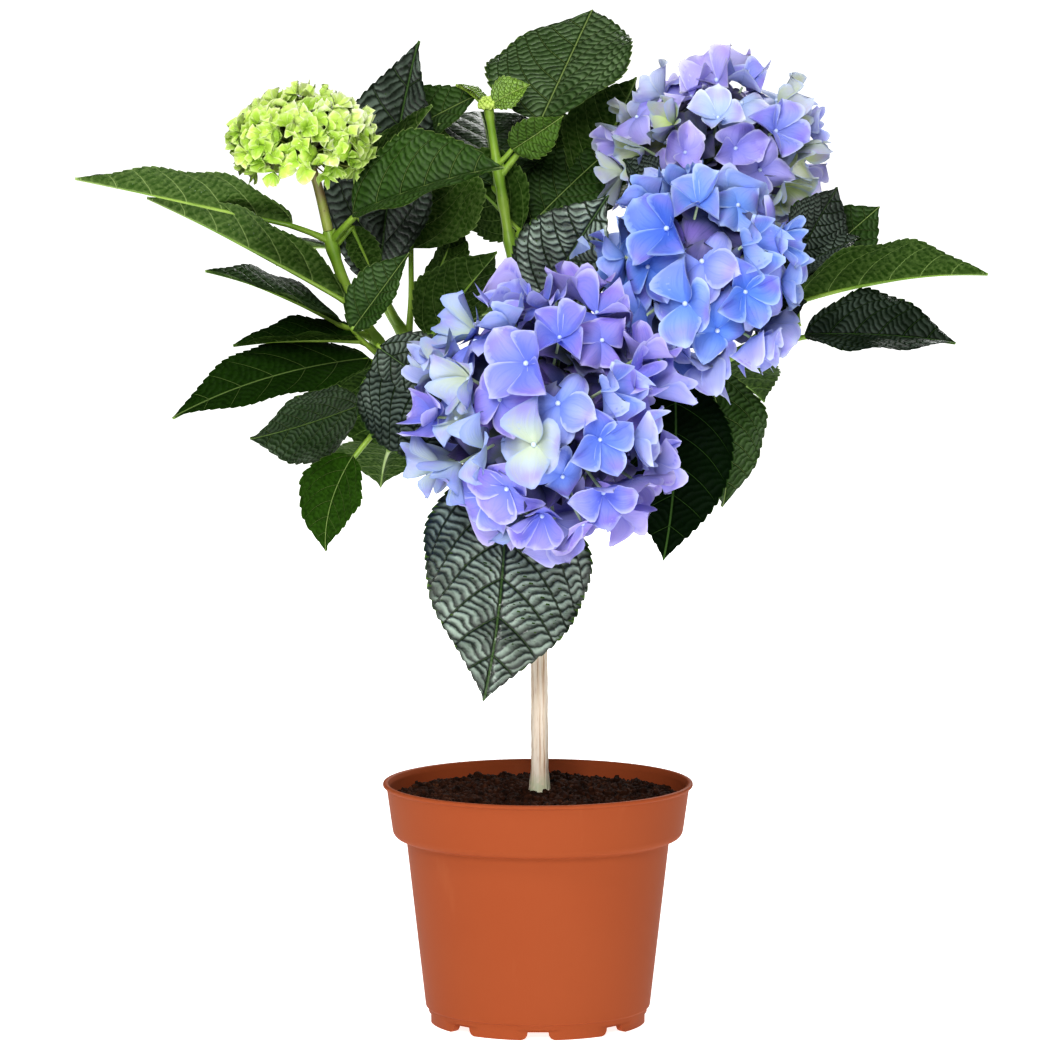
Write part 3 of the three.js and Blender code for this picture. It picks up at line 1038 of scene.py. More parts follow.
def crowd() -> Growth:
    """Puts one of a collection's forms on each point, turned and sized by the point.

    Returns:
        The tree.
    """
    tree = Growth("crowd", Forms="Collection")
    form, turn, size = (
        tree.node("GeometryNodeInputNamedAttribute", {"data_type": kind}, Name=title).outputs[0]
        for title, kind in (("form", "INT"), ("turn", "FLOAT_VECTOR"), ("size", "FLOAT"))
    )
    tree.stamp(tree.given["Geometry"], form, turn, size)
    return tree


def litter() -> Growth:
    """Scatters a collection's forms over the upward faces of a mesh.

    Returns:
        The tree.
    """
    sizes = {"Density": "Float", "Smallest": "Float", "Largest": "Float"}
    tree = Growth("litter", Forms="Collection", Seed="Int", **sizes)
    given = tree.given
    normal = tree.node("GeometryNodeInputNormal")
    up = tree.node("ShaderNodeSeparateXYZ", Vector=normal.outputs[0])
    facing = tree.node("FunctionNodeCompare", {"operation": "GREATER_THAN"}, A=up.outputs[2], B=CRUMB_SLOPE)
    ground = {"Mesh": given["Geometry"], "Selection": facing.outputs[0], "Density": given["Density"]}
    spots = tree.node("GeometryNodeDistributePointsOnFaces", Seed=given["Seed"], **ground)
    turn, size, form = (
        tree.node("FunctionNodeRandomValue", {"data_type": kind}, Seed=given["Seed"], **ends)
        for kind, ends in (
            ("FLOAT_VECTOR", {"Max": (math.tau, math.tau, math.tau)}),
            ("FLOAT", {"Min": given["Smallest"], "Max": given["Largest"]}),
            ("INT", {"Min": 0, "Max": CRUMB_FORMS - 1}),
        )
    )
    tree.stamp(spots.outputs[0], form.outputs[2], turn.outputs[0], size.outputs[1])
    return tree


class FormBox:
    """A hidden collection of small meshes for a tree to pick from."""

    def __init__(self, name: str, meshes: Sequence[Mesh]) -> None:
        """Fills the collection.

        Args:
            name: Its name.
            meshes: Its meshes, each under a name that keeps their order.
        """
        self.collection = bpy.data.collections.new(name)
        for i, mesh in enumerate(meshes):
            self.collection.objects.link(bpy.data.objects.new(f"{name}_{i:02d}", mesh))

    def empty(self) -> None:
        """Removes the collection and what is in it."""
        for item in list(self.collection.objects):
            bpy.data.objects.remove(item)
        bpy.data.collections.remove(self.collection)


@dataclass(frozen=True)
class Strand:
    """Points and radii for one limb, stalk or ray, in millimetres."""

    points: tuple[Vector, ...]
    radii: tuple[float, ...]


def skinned(
    skin: Growth, name: str, strands: Sequence[Strand], sides: int, relief: float, material: Material
) -> Piece:
    """Makes one piece of many strands.

    Args:
        skin: The tree that skins them.
        name: The piece's name.
        strands: The strands.
        sides: How many sides each has.
        relief: How uneven its skin is, in millimetres.
        material: Its material.

    Returns:
        The piece.
    """
    curve = bpy.data.curves.new(name, "CURVE")
    curve.dimensions = "3D"
    for strand in strands:
        spline = curve.splines.new("POLY")
        spline.points.add(len(strand.points) - 1)
        for target, point, radius in zip(spline.points, strand.points, strand.radii):
            target.co = (*(point * MM), 1)
            target.radius = radius * MM
    return skin.run(curve, name, Sides=sides, Relief=relief * MM, Material=material)


def smooth_strand(points: Sequence[Vector], radii: Sequence[float], steps: int) -> Strand:
    """Draws a smooth strand through a few points.

    Args:
        points: The points that it passes.
        radii: The radius at each.
        steps: How many pieces it is cut into between two points.

    Returns:
        The strand.
    """
    ends = [points[0] * 2 - points[1], *points, points[-1] * 2 - points[-2]]
    along: list[Vector] = []
    sizes: list[float] = []
    for i in range(len(points) - 1):
        a, b, c, d = ends[i : i + 4]
        for k in range(steps):
            t = k / steps
            spot = b * 2 + (c - a) * t + (a * 2 - b * 5 + c * 4 - d) * t**2
            along.append((spot + (b * 3 - a - c * 3 + d) * t**3) / 2)
            sizes.append(between(radii[i], radii[i + 1], t))
    along.append(points[-1].copy())
    sizes.append(radii[-1])
    return Strand(tuple(along), tuple(sizes))


# ---- the plant's own rule ----

GAP = 0.3
TRUNK_X = 1.0


@dataclass(frozen=True)
class Veins:
    """How the side veins of a leaf run: pairs on a blade, their slant, and their curl to the tip.

    Small veins cross between them as rungs, which lean back on their way out and hook forward where
    they meet the midrib. Places are given in vein spacings, along the midrib and out from it.
    """

    pairs: float = 6.2
    slant: float = 0.58
    curl: float = 0.12
    rung_lean: float = 0.3
    rung_hook: float = 0.28
    sway: float = 0.2
    sway_turns: Pair = (5.3, 2.1)
    shuffle: float = 0.31

    def phase(self, along: np.ndarray, out: np.ndarray) -> np.ndarray:
        """Counts side veins at a place."""
        return along - self.slant * out - self.curl * out**3

    def rungs(self, along: np.ndarray, out: np.ndarray) -> np.ndarray:
        """Measures how far along the leaf a place is, so that it is even along each rung."""
        return along + self.rung_lean * out + self.rung_hook * np.arctan(2 * out)

    def wander(self, along: np.ndarray, phase: np.ndarray) -> np.ndarray:
        """Makes the rungs uneven along each panel, and different from one panel to the next."""
        turns = self.sway_turns
        return self.sway * np.sin(turns[0] * phase + turns[1] * along) + self.shuffle * np.floor(phase)


VEINS = Veins()


@dataclass(frozen=True)
class Bough:
    """A limb that leaves the trunk at a height, and the shoot that grows on from its tip."""

    height: float
    az: float
    rise: float
    length: float
    lift: float
    swing: float
    radii: Pair
    shoot_length: float
    shoot_lift: float
    shoot_swing: float
    shoot_radii: Pair

    def path(self) -> list[Vector]:
        """Returns the bough's points."""
        start = Vector((TRUNK_X, 0, self.height))
        return grow(start, self.az, self.rise, self.length, self.lift, self.swing)

    def shoot(self) -> list[Vector]:
        """Carries the bough on.

        Returns:
            The shoot's points.
        """
        az = self.az + self.swing
        rise = self.rise + self.lift
        start = self.path()[-1] + direction(az, rise) * GAP
        return grow(start, az, rise, self.shoot_length, self.shoot_lift, self.shoot_swing)


BOUGHS = {
    "left_low": Bough(322, 206, 14, 66, 16, -8, (4.2, 3.6), 48, 10, 6, (3.4, 2.8)),
    "back_right": Bough(322, 44, 22, 80, 26, -10, (4.2, 3.6), 84, 30, -20, (3.5, 2.5)),
    "front": Bough(336, -92, 18, 26, 14, 0, (4.4, 4.0), 26, 20, 0, (3.9, 3.5)),
    "back": Bough(338, 86, 26, 74, 42, 0, (4.4, 3.8), 116, 14, -30, (3.7, 2.7)),
    "left": Bough(350, 188, 16, 86, 26, 4, (4.6, 3.9), 112, 36, 4, (3.8, 3.3)),
    "right": Bough(326, -4, 66, 96, -46, 0, (4.2, 3.7), 98, 10, 4, (3.5, 2.6)),
    "right_front": Bough(362, -42, 22, 60, 20, 12, (4.4, 3.9), 40, 20, 8, (3.8, 3.4)),
    "left_back": Bough(362, 158, 18, 86, 26, 10, (4.4, 3.8), 128, 44, -60, (3.7, 2.7)),
    "right_back": Bough(368, 34, 38, 82, 16, -6, (4.4, 3.8), 64, 14, -6, (3.7, 3.3)),
    "top": Bough(374, 120, 62, 60, 16, 8, (4.2, 3.7), 132, 4, 62, (3.6, 2.4)),
}


class Tone(Enum):
    """How old a leaf is, as its place on the ramp from dark to pale."""

    DARK = 0.0
    PLAIN = 0.2
    MID = 0.42
    BRIGHT = 0.7
    YOUNG = 1.0


class Quilt(Enum):
    """How deep the panels between a leaf's veins are."""

    SMOOTH = 0.25
    SOFT = 0.55
    PUCKERED = 0.75
    GLOSSY = 1.0


@dataclass(frozen=True)
class Leaf:
    """One leaf of a shoot.

    Its station runs from 0 to 1 along the shoot, its stalk is (az, rise, length) and its blade
    (az, rise, length, width). Arch droops the tip, roll turns the blade about its midrib, fold lifts
    both halves and sway bends it sideways.
    """

    station: float
    stalk: Triple
    blade: tuple[float, float, float, float]
    arch: float
    roll: float
    fold: float
    sway: float
    tone: Tone
    quilt: Quilt


D, P, M, B, Y = Tone
SMOOTH, SOFT, PUCKERED, GLOSSY = Quilt

LEAVES = {
    "left": (
        Leaf(0.94, (-159, 27, 27), (-176, 12, 133, 78), 0, 9, 30, 0, M, PUCKERED),
        Leaf(0.5, (-129, 41, 19), (171, 28, 135, 76), 4, 14, 32, 0, M, PUCKERED),
        Leaf(0.94, (-51, 40, 28), (-18, 23, 99, 78), 14, 42, 36, -4, M, SOFT),
        Leaf(0.92, (14, 55, 24), (27, 53, 82, 60), 4, -32, 20, 0, M, SOFT),
        Leaf(0.9, (32, 44, 19), (35, -62, 40, 19), 10, -48, 14, 0, P, SOFT),
        Leaf(0.34, (-151, 28, 27), (-164, 28, 91, 70), 14, -10, 10, 6, P, SOFT),
        Leaf(0.22, (-130, 28, 29), (-177, 2, 78, 60), 10, -6, 20, 0, P, SMOOTH),
        Leaf(0.1, (-131, 32, 56), (-13, 53, 59, 35), 0, 68, 30, 0, M, SOFT),
        Leaf(0.02, (-142, 28, 39), (-154, -4, 129, 69), 30, -20, 8, -8, P, SMOOTH),
        Leaf(0.03, (-117, 29, 52), (1, -36, 60, 54), 16, 102, 10, 0, D, PUCKERED),
        Leaf(0.05, (-110, 39, 33), (-39, -54, 86, 88), 20, 26, 6, 0, D, PUCKERED),
    ),
    "left_low": (
        Leaf(0.96, (-162, 28, 20), (-159, -18, 70, 70), 10, -131, 6, 0, P, SOFT),
        Leaf(0.99, (-155, -44, 30), (-166, -58, 61, 50), 30, -35, 10, 20, M, SMOOTH),
        Leaf(0.5, (140, -10, 20), (95, -12, 95, 66), 20, 0, 12, 0, P, SOFT),
    ),
    "front": (Leaf(0.5, (180, -26, 21), (-90, -65, 145, 116), 24, -31, 6, 0, D, GLOSSY),),
    "left_back": (
        Leaf(0.16, (-174, 62, 33), (62, 78, 152, 104), -6, -21, 12, -20, D, PUCKERED),
        Leaf(0.12, (-36, 86, 56), (21, 77, 78, 86), 0, -150, 10, 0, M, SOFT),
        Leaf(0.97, (11, 59, 16), (-12, 32, 78, 62), 10, 40, 12, 0, M, SOFT),
        Leaf(0.02, (39, 80, 34), (22, 66, 52, 44), 0, -169, 10, 0, P, SOFT),
        Leaf(0.04, (-75, 28, 24), (-11, 53, 68, 62), 6, -37, 12, 0, P, SOFT),
        Leaf(0.55, (140, 20, 20), (115, 4, 115, 80), 28, 0, 12, 0, P, PUCKERED),
        Leaf(0.95, (95, 30, 18), (85, 12, 100, 70), 20, 0, 12, 0, M, SOFT),
        Leaf(0.03, (120, -10, 20), (105, -40, 105, 80), 10, 0, 10, 0, D, SOFT),
    ),
    "top": (
        Leaf(0.04, (-69, -4, 24), (-50, 50, 97, 66), 10, 108, 10, 0, D, GLOSSY),
        Leaf(0.36, (60, 23, 16), (149, 41, 74, 60), 10, 79, 10, 0, P, SOFT),
        Leaf(0.72, (-32, 41, 14), (-37, 28, 43, 26), 10, 122, 16, 0, B, SOFT),
        Leaf(0.66, (-8, 54, 43), (62, 44, 102, 98), 8, -1, 12, 6, M, PUCKERED),
        Leaf(0.55, (110, 30, 18), (96, 38, 100, 74), 30, 0, 12, 0, P, SOFT),
        Leaf(0.98, (-60, 40, 6), (-20, 30, 26, 22), 20, 70, 20, 0, Y, PUCKERED),
        Leaf(0.98, (120, 40, 6), (160, 40, 22, 18), 20, 0, 20, 0, Y, PUCKERED),
    ),
    "right_back": (
        Leaf(0.7, (-87, 41, 55), (-140, 54, 37, 44), 20, -70, 10, 0, D, PUCKERED),
        Leaf(0.4, (70, 20, 20), (66, 15, 115, 80), 25, 0, 12, 0, P, SOFT),
    ),
    "back": (
        Leaf(0.5, (-118, 60, 48), (28, 41, 73, 60), 10, 41, 10, 0, M, SOFT),
        Leaf(0.8, (-25, 53, 33), (50, 54, 84, 62), 0, -105, 12, 0, M, SOFT),
        Leaf(0.3, (110, 10, 22), (112, 5, 125, 84), 30, 10, 12, 0, P, PUCKERED),
        Leaf(0.3, (60, 15, 22), (62, 8, 120, 80), 28, -10, 12, 0, D, SOFT),
        Leaf(0.74, (150, 15, 20), (140, 20, 110, 78), 24, 0, 12, 0, P, SOFT),
        Leaf(0.78, (70, 22, 18), (74, 20, 115, 80), 34, 0, 12, 0, M, SOFT),
        Leaf(1.0, (90, 60, 8), (95, 60, 60, 40), 20, 0, 16, 0, B, SOFT),
        Leaf(0.02, (80, -20, 20), (85, -50, 110, 84), 10, 0, 10, 0, D, SOFT),
    ),
    "right": (
        Leaf(0.98, (87, 58, 41), (30, 60, 53, 56), -10, 101, 12, 0, D, PUCKERED),
        Leaf(0.97, (104, 43, 39), (-2, 31, 54, 56), 10, 23, 12, 0, D, PUCKERED),
        Leaf(0.98, (86, 55, 17), (5, 15, 118, 88), 18, -8, 38, -4, P, SOFT),
        Leaf(0.62, (-19, 16, 39), (-12, 2, 92, 74), 16, 26, 20, 8, D, SOFT),
        Leaf(0.62, (-48, 52, 14), (-9, 35, 37, 54), 6, 32, 10, 0, D, SOFT),
        Leaf(0.96, (77, 35, 52), (21, 38, 62, 50), 0, 50, 12, 0, M, SOFT),
        Leaf(0.15, (39, 8, 25), (-19, -67, 86, 72), 40, 25, 6, -6, M, SOFT),
    ),
    "right_front": (Leaf(0.3, (23, -4, 36), (-86, -59, 117, 69), 50, -4, 4, -6, D, SMOOTH),),
    "back_right": (
        Leaf(0.15, (80, 0, 22), (78, -10, 110, 78), 24, 0, 12, 0, P, SOFT),
        Leaf(0.5, (40, 0, 22), (56, -8, 105, 76), 25, 0, 12, 0, D, PUCKERED),
        Leaf(0.9, (96, -2, 20), (92, -10, 100, 72), 25, 0, 12, 0, P, SOFT),
        Leaf(0.04, (60, -15, 20), (60, -45, 100, 78), 10, 0, 10, 0, D, SOFT),
    ),
}


# ---- leaves ----


@dataclass(frozen=True)
class LeafMaker:
    """Grows one leaf's blade as a closed mesh, with its teeth, veins and quilting."""

    tooth_pitch: float = 5.4
    tooth_depth: float = 1.5
    tooth_steps: tuple[Pair, ...] = ((0.0, 0.0), (0.34, 0.5), (0.68, 0.9), (0.92, 1.0))
    columns: int = 12
    thickness: float = 0.55
    quilting: float = 0.012
    rung_pitch: float = 0.45
    pucker_height: float = 0.36
    ruffle: float = 0.05
    least_half_width: float = 0.35
    rib_depth: float = 0.75
    rib: tuple[Pair, ...] = ((0.0, 1.75), (0.06, 1.45), (0.3, 1.1), (0.6, 0.75), (0.85, 0.35))
    crowding: float = 1.15
    tooth_fade: float = 12
    edge: float = 0.999
    waves: Triple = (2.6, 0.31, 0.4)
    groove: Pair = (0.5, 1.6)
    keel: Pair = (0.9, 1.5)

    @staticmethod
    def half_width(width: float, s: np.ndarray) -> np.ndarray:
        """Returns half the blade's width: widest before the middle, drawn out to a point."""
        return width / 2 * np.maximum(np.sin(math.pi * s**0.8), 0) ** (0.72 + 0.45 * s)

    @staticmethod
    def midrib(leaf: Leaf, node: Vector) -> tuple[list[Vector], Callable[[float], tuple[Vector, ...]]]:
        """Bends the line that a blade follows.

        Args:
            leaf: The leaf.
            node: Where its stalk leaves the shoot.

        Returns:
            The midrib's points, and what gives its forward, side and normal at a station.
        """
        az, rise, length, _ = leaf.blade
        base = node + direction(*leaf.stalk[:2]) * leaf.stalk[2]
        ahead = direction(az, rise)
        aside = Vector((-math.sin(math.radians(az)), math.cos(math.radians(az)), 0))
        up = ahead.cross(aside)
        roll = Quaternion(ahead, math.radians(leaf.roll))
        aside = roll @ aside
        up = roll @ up

        def turned(s: float) -> tuple[Vector, ...]:
            """Turns the midrib's axes at a station.

            Args:
                s: The station.

            Returns:
                The forward, side and normal.
            """
            droop = math.radians(leaf.arch) * s**1.3
            drift = math.radians(leaf.sway) * s**1.3
            forward = ahead * math.cos(droop) - up * math.sin(droop)
            normal = up * math.cos(droop) + ahead * math.sin(droop)
            return (
                forward * math.cos(drift) + aside * math.sin(drift),
                aside * math.cos(drift) - forward * math.sin(drift),
                normal,
            )

        steps = 24
        points = [base]
        for i in range(steps):
            points.append(points[i] + turned((i + 0.5) / steps)[0] * (length / steps))
        return points, turned

    def stations(self, length: float) -> tuple[np.ndarray, np.ndarray]:
        """Spaces the teeth along a blade.

        Args:
            length: The blade's length.

        Returns:
            Stations along the blade, and how far out a tooth stands at each.
        """
        teeth = max(9, round(length / self.tooth_pitch))
        along = [(tooth + step) / teeth for tooth in range(teeth) for step, _ in self.tooth_steps]
        out = [height for _ in range(teeth) for _, height in self.tooth_steps]
        return np.array([*along, 1.0]), np.array([*out, 0.0])

    def add_to(self, draft: Draft, leaf: Leaf, node: Vector, index: int, cells: int) -> None:
        """Adds a leaf to a piece.

        Args:
            draft: The piece being gathered.
            leaf: The leaf.
            node: Where its stalk leaves the shoot.
            index: Its number in the piece.
            cells: How many leaves the piece has.
        """
        _, _, length, width = leaf.blade
        points, turned = self.midrib(leaf, node)
        s, tooth = self.stations(length)
        half = np.maximum(self.half_width(width, s), self.least_half_width)
        across = np.linspace(-1, 1, 2 * self.columns + 1)
        t = np.sign(across) * np.abs(across) ** self.crowding
        centre = np.array([point_at(points, float(x)) for x in s])[:, None]
        turns = [turned(float(x)) for x in s]
        side = np.array([turn[1] for turn in turns])[:, None]
        normal = np.array([turn[2] for turn in turns])[:, None]

        a = np.abs(t)[None, :]
        inner = half[:, None] * t[None, :]
        depth = self.tooth_depth * np.clip(half / self.tooth_fade, 0.1, 1) * tooth
        x = inner + np.sign(t)[None, :] * (a > self.edge) * depth[:, None]
        spacing = length / VEINS.pairs
        along = s[:, None] * VEINS.pairs
        out = np.abs(inner) / spacing
        phase = VEINS.phase(along, out)
        pitch = self.rung_pitch * math.sqrt(length)
        rungs = VEINS.rungs(along, out) * spacing / pitch + VEINS.wander(along, phase)
        puckers = np.abs(np.sin(math.pi * rungs)) ** 0.8
        panels = np.abs(np.sin(math.pi * phase)) ** 0.8
        swell = panels * (1 - np.exp(-((np.abs(inner) / 3) ** 2))) * (1 - a**6)
        height = self.quilting * length + self.pucker_height * pitch * (puckers - 0.5)
        quilt = swell * height * leaf.quilt.value
        fold = math.radians(leaf.fold)
        cup = np.abs(x) * math.sin(fold) * (1 - 0.22 * a**2)
        turn, step, swap = self.waves
        wave = np.sin(math.tau * (turn * s[:, None] + step * index + swap * (t[None, :] > 0)))
        ruffle = self.ruffle * half[:, None] * a**3 * wave
        groove = -self.groove[0] * np.exp(-((np.abs(inner) / self.groove[1]) ** 2))
        top = cup + quilt + ruffle + groove
        body = self.thickness * (1 - a**8) + self.keel[0] * np.exp(-((np.abs(inner) / self.keel[1]) ** 2))
        under = top - np.where(a > self.edge, 0, body)
        flat = x * math.cos(fold)

        own = (0.5 + 0.46 * x / (width / 2 + self.tooth_depth), 0.03 + 0.94 * s[:, None])
        own, blade, spread = (
            np.stack(np.broadcast_arrays(*parts), axis=-1).reshape(-1, len(parts))
            for parts in (own, (along, inner / spacing), (a, inner))
        )
        tone = leaf.tone.value + 0.06 * (chance(index, 7) - 0.5)
        draft.add_sheet(
            centre + side * flat[..., None] + normal * top[..., None],
            centre + side * flat[..., None] + normal * under[..., None],
            1,
            {
                "OFBake": (self.cell(own, index * 2, cells * 2), self.cell(own, index * 2 + 1, cells * 2)),
                "Blade": (blade, blade),
            },
            {
                "Across": (spread[:, 0], spread[:, 0]),
                "Tone": (tone, tone),
                "Quilt": (leaf.quilt.value, leaf.quilt.value),
                "Rungs": (spacing / pitch, spacing / pitch),
            },
        )

    @staticmethod
    def cell(own: np.ndarray, index: int, cells: int) -> np.ndarray:
        """Moves a map of one face of a leaf into its own cell of the piece's map.

        Args:
            own: The map, from 0 to 1.
            index: The face's number.
            cells: How many faces there are.

        Returns:
            The moved map.
        """
        columns = max(1, math.ceil(math.sqrt(cells * 1.5)))
        rows = math.ceil(cells / columns)
        return (own + np.array([index % columns, index // columns])) / np.array([columns, rows])

    def stalk(self, leaf: Leaf, node: Vector) -> Strand:
        """Carries a leaf's stalk on under the blade as its midrib.

        Args:
            leaf: The leaf.
            node: Where the stalk leaves the shoot.

        Returns:
            The stalk.
        """
        points, turned = self.midrib(leaf, node)
        along = direction(*leaf.stalk[:2])
        length = leaf.stalk[2]
        size = between(0.75, 1.0, min(leaf.blade[2] / 110, 1))
        knots = [node, node + along * (length * 0.5) - UP * (length * 0.03)]
        for s, radius in self.rib:
            knots.append(point_at(points, s) - turned(s)[2] * (radius * size + self.rib_depth))
        radii = [2.6, 1.9, *(radius for _, radius in self.rib)]
        return smooth_strand(knots, [radius * size for radius in radii], 4)


# ---- florets ----


@dataclass(frozen=True)
class SepalShape:
    """How the sepals of one form of floret stand, as ranges.

    Cup is their slope out of the floret's plane, fold lifts or drops their sides, curl bends the tip,
    and ruffle waves the sides.
    """

    cup: Pair
    fold: Pair
    curl: Pair
    ruffle: Pair


OPEN = SepalShape((0.1, 0.5), (-0.2, 0.7), (-0.4, 0.1), (0.05, 0.13))
CUPPED = SepalShape((0.3, 1.0), (0.5, 1.2), (-0.25, 0.25), (0.06, 0.14))
CURLED = SepalShape((0.4, 0.9), (-0.9, -0.1), (-0.9, -0.35), (0.06, 0.16))
CRUMPLED = SepalShape((0.1, 1.3), (-0.9, 1.3), (-0.8, 0.4), (0.12, 0.24))
SEPAL_SHAPES = (OPEN, CUPPED, CURLED, CRUMPLED, CUPPED, CURLED, CRUMPLED, OPEN)
SEPAL_SHAPES += (CUPPED, CURLED, CRUMPLED, CUPPED)


@dataclass(frozen=True)
class FloretMaker:
    """Makes the forms of a floret at a radius of 1: four sepals, closed and thin, and a bead."""

    along: int = 8
    across: int = 6
    half_width: float = 0.54
    widest: float = 0.44
    foot_width: float = 0.07
    thickness: float = 0.014
    sepals: int = 4
    waves: float = 7.5
    twists: Pair = (-0.35, 0.35)
    leans: Pair = (-0.12, 0.12)
    lengths: Pair = (0.88, 1.06)
    widths: Pair = (0.9, 1.1)

    def outline(self, s: np.ndarray) -> np.ndarray:
        """Shapes a sepal: a narrow foot, broad in the middle, then a drawn-out point.

        Args:
            s: Stations from 0 to 1 along it.

        Returns:
            Its half width at each.
        """
        rising = np.sin(np.clip(s / self.widest, 0, 1) * math.pi / 2)
        falling = 1 - np.clip((s - self.widest) / (1 - self.widest), 0, 1) ** 1.6
        return self.half_width * (self.foot_width + (1 - self.foot_width) * rising) * falling + 0.008

    def add_sepal(
        self, draft: Draft, shape: SepalShape, turn: float, dice: random.Random, sink: float
    ) -> None:
        """Adds one sepal, turned about the floret's axis.

        Args:
            draft: The floret being gathered.
            shape: How its sepals stand.
            turn: The sepal's turn in radians.
            dice: Where its chances come from.
            sink: How far below the others it starts.
        """
        s = np.linspace(0, 1, self.along + 1)[:, None] ** 0.92
        t = np.linspace(-1, 1, self.across + 1)[None, :]
        ranges = (shape.cup, shape.fold, shape.curl, shape.ruffle, self.twists, self.leans, self.lengths)
        cup, fold, curl, ruffle, twist, lean, length = (dice.uniform(*ends) for ends in ranges)
        phases = dice.uniform(0, math.tau), dice.uniform(0, math.tau)
        wide = self.outline(s) * t * dice.uniform(*self.widths)
        slope = (cup + 1.6 * curl * s) * 0.8
        reach = length * s * np.cos(slope)
        rise = length * s * np.sin(slope)
        waves = np.where(t > 0, np.sin(self.waves * s + phases[0]), np.sin(self.waves * s + phases[1]))
        valley = fold * (0.6 + 0.7 * s) * np.abs(wide) ** 1.3 * 1.25
        rise = rise + valley + twist * wide * s + ruffle * waves * np.abs(t) ** 2 * s - sink
        flat = reach * np.ones_like(t)
        skew = wide * math.cos(min(abs(fold), 0.7)) + lean * s**2
        x = flat * math.cos(turn) - skew * math.sin(turn)
        y = flat * math.sin(turn) + skew * math.cos(turn)
        uv = np.stack(np.broadcast_arrays(s, (t + 1) / 2), axis=-1).reshape(-1, 2)
        draft.add_sheet(
            np.stack([x, y, rise], axis=-1) / MM,
            np.stack([x, y, rise - self.thickness], axis=-1) / MM,
            0,
            {"Sepal": (uv, uv)},
            {"Under": (0.0, 1.0)},
        )

    def forms(self, seed: int) -> list[Mesh]:
        """Makes a mesh of each form.

        Args:
            seed: Where its chances start.

        Returns:
            The meshes, in the order of the shapes.
        """
        dice = random.Random(seed)
        meshes = []
        for i, shape in enumerate(SEPAL_SHAPES):
            draft = Draft()
            for k in range(self.sepals):
                turn = (k / self.sepals) * math.tau + dice.uniform(-0.12, 0.12)
                self.add_sepal(draft, shape, turn, dice, 0.02 * (k % 2) + 0.01)
            meshes.append(draft.mesh(f"floret_{i}"))
        return meshes

    @staticmethod
    def bead() -> Mesh:
        """Makes the bead at a floret's heart.

        Returns:
            The bead.
        """
        shell = bmesh.new()
        bmesh.ops.create_uvsphere(shell, u_segments=8, v_segments=5, radius=0.058)
        bmesh.ops.translate(shell, verts=shell.verts, vec=(0, 0, 0.03))
        return meshed(shell, bpy.data.meshes.new("bead"))


@dataclass(frozen=True)
class FloretTints:
    """A floret's colours as hexadecimal numbers: its heart, its sepals' body and their rim."""

    heart: str
    body: str
    rim: str


@dataclass(frozen=True)
class Floret:
    """Where a floret stands: its centre, outward direction, spin, size and form."""

    centre: Vector
    outward: Vector
    spin: float
    size: float
    form: int

    def turn(self) -> Quaternion:
        """Returns the turn from a form's own axes."""
        return UP.rotation_difference(self.outward) @ Quaternion(UP, self.spin)


@dataclass(frozen=True)
class Bloom:
    """A flower head: its centre, half sizes, facing and florets."""

    at: Triple
    radii: Triple
    facing: Triple
    floret: float
    count: int
    inner: int
    spread: float
    slot: str
    sepal: Sepal
    tints: Callable[[Vector, int], FloretTints]
    tries: int = 10
    lean: float = 1.1
    # Painted shade: the tints of the outer florets are dimmed a little, and those of the inner florets, deep
    # in the head, far more.
    lights: Pair = (0.93, 0.22)

    def stance(self, share: float, count: int, i: int, salt: int) -> Floret:
        """Puts one floret on the head, which they fill evenly from its crown down.

        Args:
            share: The shell that it sits on, as a share of the head.
            count: How many the shell has.
            i: Its number on the shell.
            salt: Sets its chances apart from those of another try.

        Returns:
            The floret.
        """
        height = between(1, math.cos(math.radians(self.spread)), (i + 0.5) / count)
        level = math.sqrt(1 - height * height)
        turn = i * GOLDEN_TURN + share * 9
        turn_to = UP.rotation_difference(Vector(self.facing).normalized())
        outward = turn_to @ Vector((level * math.cos(turn), level * math.sin(turn), height))
        luck = i + 1000 * salt
        inset = self.floret * between(0.24, 0.56, chance(luck, 1))
        centre = Vector([self.at[k] + outward[k] * (self.radii[k] * share - inset) for k in range(3)])
        lean = Vector([chance(luck, k) - 0.5 for k in (2, 3, 4)]) * self.lean
        return Floret(
            centre,
            (outward + lean).normalized(),
            chance(luck, 5) * math.tau,
            self.floret * between(0.84, 1.12, chance(luck, 6)),
            int(chance(luck, 10) * len(SEPAL_SHAPES)),
        )

    def settled(self, coarse: Sequence[Mesh]) -> list[Floret]:
        """Places the florets one by one, each in the stance that cuts its neighbours least.

        Args:
            coarse: A simple mesh of each form.

        Returns:
            The florets.
        """
        shapes = [
            ([v.co.copy() for v in mesh.vertices], [tuple(p.vertices) for p in mesh.polygons])
            for mesh in coarse
        ]
        standing: list[tuple[Floret, BVHTree]] = []
        for share, count, shell in ((1.0, self.count, 0), (0.7, self.inner, 1)):
            for i in range(count):
                best = None
                fewest = math.inf
                for attempt in range(self.tries):
                    floret = self.stance(share, count, i, shell * self.tries + attempt)
                    turn = floret.turn()
                    points, faces = shapes[floret.form]
                    spots = [floret.centre + turn @ point * floret.size for point in points]
                    tree = BVHTree.FromPolygons(spots, faces)
                    reach = 2 * self.floret
                    near = [
                        other for there, other in standing if (there.centre - floret.centre).length < reach
                    ]
                    cuts = sum(len(tree.overlap(other)) for other in near) if self.tries > 1 else 0
                    if cuts < fewest:
                        best, fewest = (floret, tree), cuts
                standing.append(best)
        return [floret for floret, _ in standing]


# ---- tints of the flower heads ----


def pick(choice: Sequence[FloretTints], share: float) -> FloretTints:
    """Returns the tint at a share from 0 to 1."""
    return choice[max(0, min(int(share * len(choice)), len(choice) - 1))]


